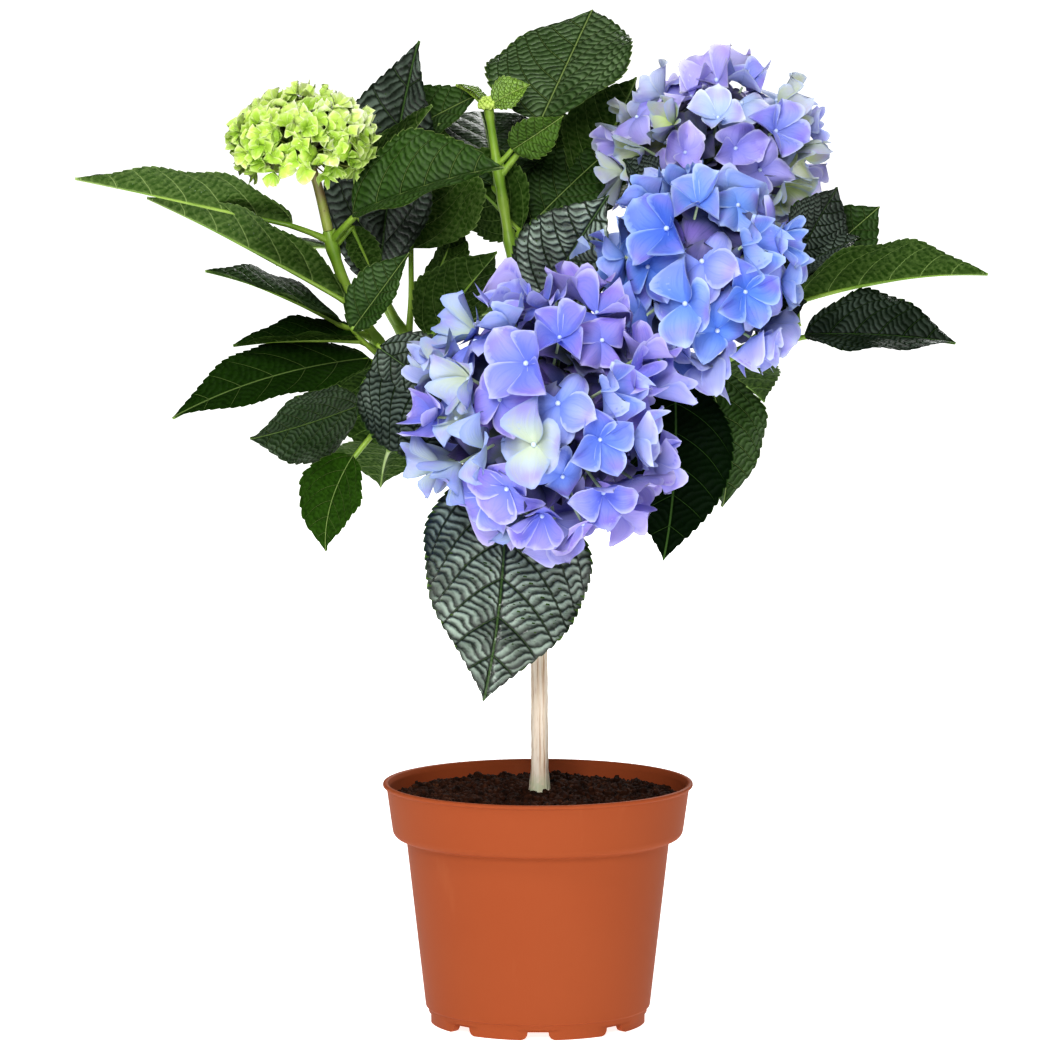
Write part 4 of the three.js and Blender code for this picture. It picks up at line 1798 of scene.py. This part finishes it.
def patches(outward: Vector, index: int, scale: float) -> float:
    """Returns a number from 0 to 1 that drifts over a head, with some chance for each floret."""
    drift = noise.noise(outward * scale + Vector((3.1, 7.7, 1.3)))
    return 0.5 + 0.7 * drift + 0.6 * (chance(index, 8) - 0.5)


def mixed(
    blues: Sequence[FloretTints],
    scale: float,
    creams: Sequence[FloretTints],
    pale: float,
    outward: Vector,
    index: int,
) -> FloretTints:
    """Tints a floret in patches of a head's blues, or now and then in cream.

    Args:
        blues: The head's main tints.
        scale: How fine their patches are.
        creams: Its cream tints.
        pale: The chance of cream.
        outward: The way that the floret faces from the head's middle.
        index: Its number.

    Returns:
        The floret's tint.
    """
    if chance(index, 9) < pale:
        return pick(creams, chance(index, 11))
    return pick(blues, patches(outward, index, scale))


def violet_head(outward: Vector, index: int) -> FloretTints:
    """Violet-blue with pink-violet patches, and cream florets on the left and low in the middle."""
    pale = 0.5 if outward.x < -0.35 else 0.3 if outward.z < -0.2 and outward.x < 0.2 else 0.05
    return mixed(VIOLETS, 1.8, CREAM_BLUE, pale, outward, index)


def blue_head(outward: Vector, index: int) -> FloretTints:
    """Cornflower blue, deeper towards the left."""
    return pick(BLUES, patches(outward, index, 1.5) + 0.25 * outward.x)


def lilac_head(outward: Vector, index: int) -> FloretTints:
    """Lilac on the crown, with cream florets low on the left and on the right."""
    low = outward.z < 0.45 and (outward.x < -0.25 or outward.x > 0.55)
    return mixed(LILACS, 1.6, CREAM_GREEN, 0.6 if low else 0.12, outward, index)


def lime_head(outward: Vector, index: int) -> FloretTints:
    """Young yellow-green, paler on the crown."""
    return pick(LIMES, 0.3 + 0.35 * outward.z + 0.8 * (chance(index, 8) - 0.5))


def tints(*rows: str) -> tuple[FloretTints, ...]:
    """Reads tints from rows of a heart's, a body's and a rim's colour."""
    return tuple(FloretTints(*row.split()) for row in rows)


VIOLETS = tints(
    "6583e2 8fa6ee c8d6fa",
    "6a7ce0 959eec cdd2fb",
    "6c7bdc 9a98e8 d0cff8",
    "7480de a59ae6 d4cff6",
    "7089e0 a4b4f0 d6e0fc",
)
BLUES = tints(
    "4468cf 6d90e6 adc8f8",
    "5480de 82a6f0 bdd4fb",
    "668fe6 98b6f5 cddefc",
    "7a8fe4 a9b3f3 d8e0fc",
)
LILACS = tints(
    "7d8ade a6b0f0 d6e0fb",
    "8e90e0 b8b4f2 e0e0fb",
    "9c98e2 c6c0f4 e8e8fc",
    "a6bcea ccdaf8 eaf2fd",
)
CREAM_BLUE = tints("c2cfb0 b0c4e6 98aeea", "c8d4b0 bccbdc a8bcea")
CREAM_GREEN = tints("b4c87c c2d0aa aec0e6", "c4d290 ccd6b4 bccae8")
LIMES = tints(
    "8cb432 bade56 e6f7aa",
    "a4ca40 d2ec74 f4fcc8",
    "bcdc54 e4f59a fbfee6",
)

PETAL = Sepal("sepal_large", 0.7, 0.3, 0.24, 0.35, "a287e4")
YOUNG_PETAL = Sepal("sepal_young", 0.6, 0.15, 0.45, 0.3, "a8cc4c")

BLOOMS = {
    "front": Bloom(
        (4, -101, 383), (76, 70, 77), (0, -0.9, 0.45), 27, 60, 34, 150, "bloom_violet", PETAL, violet_head
    ),
    "right_front": Bloom(
        (95, -50, 464), (60, 52, 60), (-0.15, -0.85, 0.5), 27, 36, 20, 150, "bloom_blue", PETAL, blue_head
    ),
    "right_back": Bloom(
        (107, 45, 531), (66, 62, 53), (0.2, -0.35, 0.9), 24, 50, 30, 140, "bloom_lilac", PETAL, lilac_head
    ),
    "left": Bloom(
        (-141, -38, 542), (43, 43, 30), (0, -0.15, 1), 8.8, 150, 50, 128, "bloom_green", YOUNG_PETAL,
        lime_head, tries=1, lean=1.2,
    ),
}


# ---- sub-assemblies ----


def turned_mesh(
    name: str,
    outline: Sequence[Pair],
    segments: int,
    relief: Callable[[np.ndarray], np.ndarray] | None = None,
) -> Mesh:
    """Turns an outline about the upright axis.

    Args:
        name: The mesh's name.
        outline: (radius, height) points, starting and ending on the axis.
        segments: Steps round the axis.
        relief: Moves the finished points.

    Returns:
        A closed mesh.
    """
    turn = np.linspace(0, math.tau, segments, endpoint=False)
    radius, height = np.array(outline).T
    points = np.stack(
        [
            radius[:, None] * np.cos(turn),
            radius[:, None] * np.sin(turn),
            np.broadcast_to(height[:, None], (len(outline), segments)),
        ],
        axis=-1,
    ).reshape(-1, 3)
    if relief is not None:
        points = relief(points)
    draft = Draft()
    draft.add(points, grid_faces(len(outline), segments, wrap=True))
    return closed(draft.mesh(name))


@dataclass
class Pot:
    """The pot: a tapering wall, a broad band under a rolled lip, and a notched foot."""

    height: float = 148
    rim_radius: float = 95
    lip_radius: float = 93.4
    wall: float = 2.2
    lip_height: float = 3
    band_top_radius: float = 92.6
    band_bottom_radius: float = 88.8
    band_height: float = 33
    shoulder_radius: float = 80.6
    base_radius: float = 68.8
    foot_radius: float = 66
    foot_height: float = 9
    foot_width: float = 5
    floor_height: float = 5
    centre_foot_radius: float = 26
    notches: int = 8
    notch_width: float = 15
    arch: tuple[Pair, ...] = ((0.72, -2), (0.7, 0), (0.52, 1.2), (0.44, 3), (0.42, 5))
    recess_width: float = 32
    recess_height: float = 6.3
    recess_radius: float = 65.4
    segments: int = 160

    @property
    def band_foot(self) -> float:
        """Returns the height of the band's lower edge."""
        return self.height - self.band_height

    def outline(self) -> list[Pair]:
        """Draws the pot's outline.

        Returns:
            Its points, from the middle of the underside round to the middle of the floor.
        """
        wall = self.wall
        inside_foot = self.foot_radius - self.foot_width
        return rounded(
            [
                (0, 0, 0),
                (self.centre_foot_radius, 0, 0.5),
                (self.centre_foot_radius + 1, self.floor_height, 0.5),
                (inside_foot, self.floor_height, 0.6),
                (inside_foot, 0, 0.5),
                (self.foot_radius, 0, 0.6),
                (self.base_radius - 1.5, self.foot_height, 0.5),
                (self.base_radius - 0.9, self.foot_height + 0.4, 0.2),
                (self.base_radius, self.foot_height + 1, 0.5),
                (self.shoulder_radius, self.band_foot - 1.5, 1.4),
                (self.band_bottom_radius - 1.8, self.band_foot, 1.5),
                (self.band_bottom_radius, self.band_foot + 2.5, 2.2),
                (self.band_top_radius, self.height - self.lip_height, 0.8),
                (self.rim_radius, self.height - self.lip_height + 0.9, 1.2),
                (self.rim_radius - 0.3, self.height, 1.3),
                (self.lip_radius - 1.4, self.height, 0.9),
                (self.band_top_radius - wall, self.height - self.lip_height, 0.8),
                (self.band_bottom_radius - wall, self.band_foot + 4, 2),
                (self.shoulder_radius - wall, self.band_foot, 2),
                (self.base_radius - wall, self.floor_height + wall, 3),
                (0, self.floor_height + wall, 0),
            ]
        )

    def notch_cutter(self) -> Piece:
        """Makes what cuts the drainage notches: an arch through the wall in a wider shallow recess.

        Returns:
            The cutter.
        """
        arch = [(-self.notch_width * share, height) for share, height in self.arch]
        arch += [(-across, height) for across, height in reversed(arch)]
        half = self.recess_width / 2
        recess = [(-half, -2), (-half, self.recess_height), (half, self.recess_height), (half, -2)]
        cuts = ((arch, self.foot_radius - 2 * self.foot_width), (recess, self.recess_radius))
        shell = bmesh.new()
        for i in range(self.notches):
            turn = Matrix.Scale(MM, 4) @ Matrix.Rotation(i / self.notches * math.tau, 4, "Z")
            for outline, start in cuts:
                ends = []
                for radius in (start, self.foot_radius + self.foot_width):
                    spots = [turn @ Vector((radius, across, height)) for across, height in outline]
                    ends.append([shell.verts.new(spot) for spot in spots])
                shell.faces.new(ends[0])
                shell.faces.new(ends[1][::-1])
                for k in range(len(outline)):
                    shell.faces.new((ends[0][k - 1], ends[1][k - 1], ends[1][k], ends[0][k])[::-1])
        bmesh.ops.recalc_face_normals(shell, faces=shell.faces)
        return placed("notches", meshed(shell, bpy.data.meshes.new("notches")))

    def build(self) -> list[Piece]:
        """Makes the pot.

        Returns:
            The pot.
        """
        mesh = turned_mesh("pot_body", self.outline(), self.segments)
        body = finished(mesh, "pot_body", PotPlastic().material())
        cutter = self.notch_cutter()
        cut = body.modifiers.new("notches", "BOOLEAN")
        cut.operation = "DIFFERENCE"
        cut.solver = "EXACT"
        cut.use_self = True
        cut.object = cutter
        body.data = applied(body, cut)
        bpy.data.objects.remove(cutter)
        body.data.set_sharp_from_angle(angle=POT_SHARP)
        return [dressed(body, "pot", "pot")]


@dataclass
class Soil:
    """The compost in the pot, lumpy on top, with loose crumbs."""

    pot: Pot
    centre_height: float = 142
    edge_height: float = 138
    flat_radius: float = 13
    lump: float = 3.2
    lumps: tuple[Pair, ...] = ((0.09, 1.1), (0.25, 0.7), (0.6, 0.4))
    segments: int = 128
    rings: int = 56
    crumb_density: float = 150000
    crumb_sizes: Pair = (0.6, 3.0)
    seed: int = 11

    def lumpy(self, points: np.ndarray) -> np.ndarray:
        """Roughens the upper surface, and leaves the sides and the edge alone.

        Args:
            points: The compost's vertices.

        Returns:
            The same, moved.
        """
        top = points[:, 2] > self.edge_height - 0.5
        edge = self.pot.band_top_radius - self.pot.wall - 1.5
        for i in np.flatnonzero(top):
            x, y, z = points[i]
            inward = min(max((edge - math.hypot(x, y)) / 6, 0), 1)
            place = Vector((x, y, 0))
            rough = sum(noise.noise(place * scale) * share for scale, share in self.lumps)
            points[i, 2] = z + self.lump * rough * inward - 0.6 * (1 - inward)
        return points

    def outline(self) -> list[Pair]:
        """Fits the compost inside the pot's wall, with its mound in rings.

        Returns:
            Its outline, from the middle of its floor round to the middle of its top.
        """
        pot = self.pot
        inner = pot.wall + GAP
        floor = pot.floor_height + pot.wall + GAP
        low = pot.band_foot + 4
        slope = (pot.band_top_radius - pot.band_bottom_radius) / (pot.height - pot.lip_height - low)
        edge = pot.band_bottom_radius - inner + slope * (self.edge_height - low) - GAP
        outline = [
            (0, floor),
            (pot.base_radius - inner - 2, floor),
            (pot.shoulder_radius - inner - 1, pot.band_foot - 2),
            (pot.band_bottom_radius - inner - 1, pot.band_foot + 5),
        ]
        for k in range(self.rings + 1):
            radius = edge * (1 - k / self.rings)
            mound = min(max((edge - radius) / (edge - self.flat_radius), 0), 1)
            outline.append((radius, between(self.edge_height, self.centre_height, mound) - 0.2))
        return outline

    def crumbs(self) -> list[Mesh]:
        """Makes the forms of a crumb.

        Returns:
            Their meshes, about 1 in radius.
        """
        dice = random.Random(self.seed)
        meshes = []
        for i in range(CRUMB_FORMS):
            shell = bmesh.new()
            bmesh.ops.create_icosphere(shell, subdivisions=1, radius=1)
            stretch = Vector([dice.uniform(0.5, 1.2) for _ in range(3)])
            for vertex in shell.verts:
                jitter = Vector([dice.uniform(-0.28, 0.28) for _ in range(3)])
                vertex.co = (vertex.co + jitter) * stretch
            meshes.append(meshed(shell, bpy.data.meshes.new(f"crumb_{i}")))
        return meshes

    def build(self) -> list[Piece]:
        """Makes the compost and its crumbs.

        Returns:
            Both pieces.
        """
        material = Compost().material()
        mesh = turned_mesh("soil_body", self.outline(), self.segments, self.lumpy)
        body = finished(mesh, "soil_body", material)
        box = FormBox("crumbs", self.crumbs())
        crumbs = litter().run(
            mesh.copy(),
            "soil_crumbs",
            Forms=box.collection,
            Density=self.crumb_density,
            Smallest=self.crumb_sizes[0] * MM,
            Largest=self.crumb_sizes[1] * MM,
            Seed=self.seed,
            Material=material,
        )
        box.empty()
        return [dressed(piece, "soil", "soil") for piece in (body, crumbs)]


@dataclass(frozen=True)
class BarkTube:
    """Skins a limb with bark relief: ribs and grooves along it, and finer grain."""

    sides: int
    step: float
    ribs: float
    grain: float
    seed: float
    rib_turns: float = 2.1
    rib_stretch: float = 0.02
    grain_stretch: float = 0.16

    def mesh(self, name: str, points: Sequence[Vector], radii: Sequence[float]) -> Mesh:
        """Makes the skin.

        Args:
            name: The mesh's name.
            points: Points along the limb.
            radii: The limb's radius at each.

        Returns:
            A closed mesh with the map "Limb".
        """
        lengths = [0.0]
        for a, b in zip(points, points[1:]):
            lengths.append(lengths[-1] + (b - a).length)
        rings = max(4, round(lengths[-1] / self.step))
        around = Vector((1, 0, 0))
        vertices = []
        marks = []
        for r in range(rings + 1):
            place = lengths[-1] * r / rings
            i = min(int(np.searchsorted(lengths, place, side="right")) - 1, len(points) - 2)
            share = (place - lengths[i]) / (lengths[i + 1] - lengths[i])
            centre = points[i].lerp(points[i + 1], share)
            ahead = (points[i + 1] - points[i]).normalized()
            around = (around - ahead * around.dot(ahead)).normalized()
            beside = ahead.cross(around)
            radius = between(radii[i], radii[i + 1], share)
            end = 0.0 if r in (0, rings) else 1.0
            for k in range(self.sides):
                turn = k / self.sides * math.tau
                out = around * math.cos(turn) + beside * math.sin(turn)
                east, north = math.cos(turn) * self.rib_turns, math.sin(turn) * self.rib_turns
                spot = Vector((east, north, place * self.rib_stretch + self.seed))
                rib = noise.noise(spot) + 0.5 * noise.noise(spot * 2.3)
                fine = noise.noise(Vector((spot.x * 4, spot.y * 4, place * self.grain_stretch + self.seed)))
                depth = (self.ribs * rib + self.grain * fine) * end
                vertices.append(centre + out * (radius + depth))
            marks.append(place / 100)
        ends = [[points[0]] * self.sides, [points[-1]] * self.sides]
        rows = np.array([*ends[0], *vertices, *ends[1]])
        faces = grid_faces(rings + 3, self.sides, wrap=True)
        v = np.array([marks[0], *marks, marks[-1]])
        row, column = faces // self.sides, faces % self.sides
        column = np.where((column == 0) & (column[:, :1] == self.sides - 1), self.sides, column)
        limb = np.stack([column / self.sides, v[row]], axis=-1)
        draft = Draft()
        draft.add(rows, faces, maps={"Limb": limb})
        return closed(draft.mesh(name))


@dataclass
class Wood:
    """The bare trunk with its knobby foot, and the boughs of its head."""

    outline: tuple[Pair, ...] = (
        *((142.3, 6.7), (145, 6.6), (149, 6.1), (157, 5.5), (180, 5.3), (202, 5.2)),
        *((306, 5.0), (320, 6.6), (354, 7.4), (376, 6.4), (384, 3.4)),
    )

    def build(self) -> list[Piece]:
        """Makes the trunk and the boughs.

        Returns:
            The pieces.
        """
        bark = Bark("bark_trunk", "fbeedd", "f0dcc4", "bf9272", 0.04).material()
        points = [Vector((TRUNK_X, 0, height)) for height, _ in self.outline]
        mesh = BarkTube(40, 1.2, 0.55, 0.22, 3.0).mesh("trunk_bark", points, [r for _, r in self.outline])
        pieces = [dressed(finished(mesh, "trunk_bark", bark), "trunk", "trunk")]
        young = Bark("bark_bough", "a9a56a", "8f8f52", "6a5638", 0.6).material()
        for i, (name, bough) in enumerate(BOUGHS.items()):
            path = bough.path()
            radii = [between(*bough.radii, k / (len(path) - 1)) for k in range(len(path))]
            title = f"bough_{name}_bark"
            mesh = BarkTube(20, 2.0, 0.22, 0.12, 10.0 + i).mesh(title, path, radii)
            pieces.append(dressed(finished(mesh, title, young), "bough", f"bough_{name}"))
        return pieces


@dataclass
class Foliage:
    """The leafy shoots: green stems, leaf stalks, buds and blades."""

    maker: LeafMaker = field(default_factory=LeafMaker)
    stalk_sides: int = 10
    stem_relief: float = 0.25
    stem_steps: int = 36
    node_swelling: float = 0.28
    node_reach: float = 0.04
    budded_length: float = 60
    bud: tuple[Pair, ...] = ((0, 1.6), (2.5, 2.0), (5, 1.9), (7.5, 1.1), (9, 0.3))

    def shoot(self, bough: Bough, leaves: Sequence[Leaf]) -> Strand:
        """Swells a shoot where its leaves leave it.

        Args:
            bough: The bough that it grows from.
            leaves: Its leaves.

        Returns:
            The shoot.
        """
        path = bough.shoot()
        stations = [k / self.stem_steps for k in range(self.stem_steps + 1)]
        radii = []
        for s in stations:
            swell = sum(math.exp(-(((s - leaf.station) / self.node_reach) ** 2)) for leaf in leaves)
            radii.append(between(*bough.shoot_radii, s) * (1 + self.node_swelling * min(swell, 1)))
        return Strand(tuple(point_at(path, s) for s in stations), tuple(radii))

    def axil_bud(self, leaf: Leaf, node: Vector) -> Strand:
        """Makes the bud in a leaf's axil.

        Args:
            leaf: The leaf.
            node: Where its stalk leaves the shoot.

        Returns:
            The bud.
        """
        along = (direction(*leaf.stalk[:2]) + UP).normalized()
        places, radii = zip(*self.bud)
        return Strand(tuple(node + along * place for place in places), radii)

    def build(self) -> list[Piece]:
        """Makes each shoot's stems and blades.

        Returns:
            The pieces.
        """
        skin = limb_skin()
        stem = GreenStem("stem_green", "6c9026", "93b044", 0.35).material()
        top = Blade(
            Side.TOP,
            ("081a04", "28460f", "43691c", "8fb83c"),
            ("4a6834", "c5d888"),
            vein_strength=0.45,
            # The dark colour serves the random cloud and the painted shade in the hollows. The crest colours
            # are the painted highlight on the puckers.
            dark_tone_and_shade="020a02",
            hollow_shade_and_pale_net_strength=0.65,
            painted_crest_light=("a0b2a3", "9cb486"),
            painted_crest_light_strength=0.85,
            roughness=0.6,
            gloss=0.3,
            specular=0.6,
            relief=1.0,
        ).material()
        under = Blade(
            Side.UNDER,
            ("22390c", "2c4811", "44661f", "a2c04b"),
            ("7d9f50", "cfe09a"),
            vein_strength=0.6,
            # Here the dark colour is only the random cloud. The crest colour is the painted light on the
            # crests.
            dark_tone_and_shade="10260a",
            hollow_shade_and_pale_net_strength=0.16,
            painted_crest_light=("35541f", "35541f"),
            painted_crest_light_strength=0.3,
            roughness=0.65,
            gloss=0.0,
            specular=0.2,
            relief=0.7,
        ).material()
        pieces = []
        for name, bough in BOUGHS.items():
            leaves = LEAVES[name]
            path = bough.shoot()
            strands = [self.shoot(bough, leaves)]
            draft = Draft()
            for i, leaf in enumerate(leaves):
                node = point_at(path, leaf.station)
                strands.append(self.maker.stalk(leaf, node))
                if leaf.blade[2] > self.budded_length:
                    strands.append(self.axil_bud(leaf, node))
                self.maker.add_to(draft, leaf, node, i, len(leaves))
            title = f"stems_{name}"
            for piece in (
                finished(draft.mesh(f"leaves_{name}"), f"leaves_{name}", top, under),
                skinned(skin, title, strands, self.stalk_sides, self.stem_relief, stem),
            ):
                pieces.append(dressed(piece, "foliage", f"foliage_{name}"))
        return pieces


@dataclass
class Flowers:
    """The blooms: sepals, beads, and the rays that carry them."""

    maker: FloretMaker = field(default_factory=FloretMaker)
    young: FloretMaker = FloretMaker(along=4, across=2, half_width=0.6, thickness=0.05)
    coarse: FloretMaker = FloretMaker(along=3, across=2)
    ray_sides: int = 6
    ray_relief: float = 0.1
    seed: int = 5

    def spots(self, bloom: Bloom, florets: Sequence[Floret]) -> Mesh:
        """Makes the points that carry a head's florets.

        Args:
            bloom: The head.
            florets: Its florets.

        Returns:
            The points, with their turns, sizes, forms and tints, the tints darkened as painted shade, the
            inner florets' far more.
        """
        mesh = bpy.data.meshes.new("spots")
        mesh.from_pydata([floret.centre * MM for floret in florets], [], [])
        turns = [angle for floret in florets for angle in floret.turn().to_euler()]
        sizes = [floret.size * MM for floret in florets]
        forms = [floret.form for floret in florets]
        tints: dict[str, list[float]] = {title: [] for title in FLORET_COLOURS}
        for i, floret in enumerate(florets):
            tint = bloom.tints(floret.outward, i)
            # Painted shade: the inner florets' tints are darkened far more than the outer ones'.
            light = bloom.lights[0 if i < bloom.count else 1]
            for title in FLORET_COLOURS:
                tints[title].extend((*(light * channel for channel in linear(getattr(tint, title))[:3]), 1.0))
        for title, kind, key, values in (
            ("turn", "FLOAT_VECTOR", "vector", turns),
            ("size", "FLOAT", "value", sizes),
            ("form", "INT", "value", forms),
            *((title, "FLOAT_COLOR", "color", values) for title, values in tints.items()),
        ):
            mesh.attributes.new(title, kind, "POINT").data.foreach_set(key, values)
        return mesh

    def rays(self, bloom: Bloom, bough: Bough, centres: Sequence[Vector]) -> list[Strand]:
        """Makes the head's stalk and a ray to each floret.

        Args:
            bloom: The head.
            bough: The bough whose shoot carries it.
            centres: Where its florets are.

        Returns:
            The stalk and the rays.
        """
        shoot = bough.shoot()
        tip = shoot[-1]
        onward = (tip - shoot[-2]).normalized()
        heart = Vector(bloom.at)
        start = tip + onward * GAP
        reach = (heart - start).length / 2
        thick = bough.shoot_radii[1]
        fork = heart - (heart - start).normalized() * (min(bloom.radii) * 0.35)
        radii = [thick, thick * 0.95, thick * 0.9, thick * 0.6]
        strands = [smooth_strand([start, start + onward * reach, fork, heart], radii, 8)]
        thin = 0.028 * bloom.floret + 0.35
        for i, centre in enumerate(centres):
            toward = centre - fork
            aside = toward.cross(UP).normalized() * (toward.length * 0.12 * (chance(i, 12) - 0.5))
            knots = [fork, fork + toward * 0.4 + aside, centre - (centre - heart).normalized() * 1.0]
            strands.append(smooth_strand(knots, [thin * 1.5, thin * 1.1, thin * 0.8], 3))
        return strands

    def build(self) -> list[Piece]:
        """Makes every head.

        Returns:
            The pieces.
        """
        large = FormBox("florets", self.maker.forms(self.seed))
        small = FormBox("young_florets", self.young.forms(self.seed))
        beads = FormBox("beads", [self.maker.bead()])
        coarse = self.coarse.forms(self.seed)
        grow_florets = crowd()
        skin = limb_skin()
        finishes = {
            PETAL: (
                large,
                Plain("bead", "dfeaf8", "b9cdf0", 0.35, 700).material(),
                GreenStem("ray_pale", "a8c28a", "c7d7b4", 0.1).material(),
            ),
            YOUNG_PETAL: (
                small,
                Plain("bead_lime", "b9d25c", "93b43c", 0.45, 700).material(),
                GreenStem("ray_lime", "9bb548", "8a6a58", 0.5).material(),
            ),
        }
        sepals = {sepal: sepal.material() for sepal in finishes}
        pieces = []
        for name, bloom in BLOOMS.items():
            box, bead, ray = finishes[bloom.sepal]
            florets = bloom.settled(coarse)
            centres = [floret.centre for floret in florets]
            spots = self.spots(bloom, florets)
            single = spots.copy()
            single.attributes["form"].data.foreach_set("value", [0] * len(centres))
            strands = self.rays(bloom, BOUGHS[name], centres)
            material = sepals[bloom.sepal]
            for piece in (
                grow_florets.run(spots, f"sepals_{name}", Forms=box.collection, Material=material),
                grow_florets.run(single, f"hearts_{name}", Forms=beads.collection, Material=bead),
                skinned(skin, f"rays_{name}", strands, self.ray_sides, self.ray_relief, ray),
            ):
                pieces.append(dressed(piece, bloom.slot, f"bloom_{name}"))
        for box in (large, small, beads):
            box.empty()
        return pieces


@dataclass
class TopBud:
    """The unopened bud that ends the top shoot."""

    radius: float = 5
    height: float = 4.4
    count: int = 46
    lowest: float = -0.5
    sizes: Pair = (1.0, 1.9)
    seed: int = 3

    def build(self) -> list[Piece]:
        """Makes a tight cluster of small round buds.

        Returns:
            The cluster.
        """
        tip = BOUGHS["top"].shoot()[-1]
        shell = bmesh.new()
        for i in range(self.count):
            height = between(1, self.lowest, (i + 0.5) / self.count)
            level = math.sqrt(1 - height * height) * self.radius
            turn = i * GOLDEN_TURN
            spot = tip + Vector((level * math.cos(turn), level * math.sin(turn), height * self.height))
            size = between(*self.sizes, chance(i, self.seed))
            place = Matrix.Translation(spot * MM) @ Matrix.Scale(size * MM, 4)
            bmesh.ops.create_icosphere(shell, subdivisions=2, radius=1, matrix=place)
        mesh = meshed(shell, bpy.data.meshes.new("top_bud"))
        mesh.shade_smooth()
        material = Plain("bud_lime", "a5c64a", "d2e27e", 0.5, 220).material()
        return [dressed(finished(mesh, "top_bud", material), "foliage", "foliage_top")]


@dataclass
class Studio:
    """A pale floor, soft light and the camera."""

    aim: Triple = (-7.9, 0, 306)
    elevation: float = 6.4
    distance: float = 3654
    lens: float = 205.7
    sensor: float = 36
    clip: float = 200
    crown: float = 380
    lamps: tuple[tuple[str, Triple, float, float], ...] = (
        ("key", (-350, -2800, 1500), 1000, 54),
        ("overhead", (-600, -1500, 2500), 700, 22),
        ("back", (700, 2200, 1700), 1000, 36),
    )
    floor_size: float = 60000
    floor_colour: str = "f7f7f7"
    floor_glow: Pair = (0.7, 0.94)
    glow_reach: Pair = (0.3, 2.5)
    sky: float = 0.1

    def lamp(self, name: str, place: Triple, size: float, power: float) -> None:
        """Adds a square soft light aimed at the crown.

        Args:
            name: Its name.
            place: Where it hangs.
            size: Its side.
            power: Its power in watts.
        """
        data = bpy.data.lights.new(name, "AREA")
        data.shape = "SQUARE"
        data.size = size * MM
        data.energy = power
        lamp = placed(name, data)
        lamp.location = Vector(place) * MM
        aim = Vector((0, 0, self.crown)) - Vector(place)
        lamp.rotation_euler = aim.to_track_quat("-Z", "Y").to_euler()

    def build(self) -> None:
        """Makes the floor, the lights and the camera."""
        outline = [(0, 0), (self.floor_size, 0), (self.floor_size, -10), (0, -10)]
        shader = Shader("floor")
        shader.surface.inputs["Emission Color"].default_value = (1, 1, 1, 1)
        away = shader.node("ShaderNodeVectorMath", shader.place(), operation="LENGTH")
        far = shader.step(away.outputs["Value"], *self.glow_reach)
        near_glow, far_glow = self.floor_glow
        glow = shader.line(far, far_glow - near_glow, near_glow)
        shader.feed(shader.surface.inputs["Emission Strength"], glow)
        material = shader.finish(self.floor_colour, 0.9, 0.2)
        finished(turned_mesh("floor", outline, 64), "floor", material)

        scene = bpy.context.scene
        scene.world = bpy.data.worlds.new("studio")
        scene.world.use_nodes = True
        sky = scene.world.node_tree.nodes["Background"]
        sky.inputs["Color"].default_value = (1, 1, 1, 1)
        sky.inputs["Strength"].default_value = self.sky
        scene.view_settings.view_transform = "Standard"
        scene.view_settings.look = "Medium High Contrast"
        for lamp in self.lamps:
            self.lamp(*lamp)

        data = bpy.data.cameras.new("camera")
        data.sensor_width = self.sensor
        data.lens = self.lens
        data.clip_end = self.clip
        scene.camera = placed("camera", data)
        ahead = direction(90, -self.elevation)
        scene.camera.location = (Vector(self.aim) - ahead * self.distance) * MM
        scene.camera.rotation_euler = ahead.to_track_quat("-Z", "Y").to_euler()


def main() -> None:
    """Builds the studio and the potted plant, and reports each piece."""
    logging.basicConfig(level=logging.INFO, format="%(message)s")
    Studio().build()
    pot = Pot()
    for part in (pot, Soil(pot), Wood(), Foliage(), Flowers(), TopBud()):
        for piece in part.build():
            triangles = sum(len(polygon.vertices) - 2 for polygon in piece.data.polygons)
            log.info("%s %s: %d triangles", type(part).__name__, piece.name, triangles)


if __name__ == "__main__":
    main()
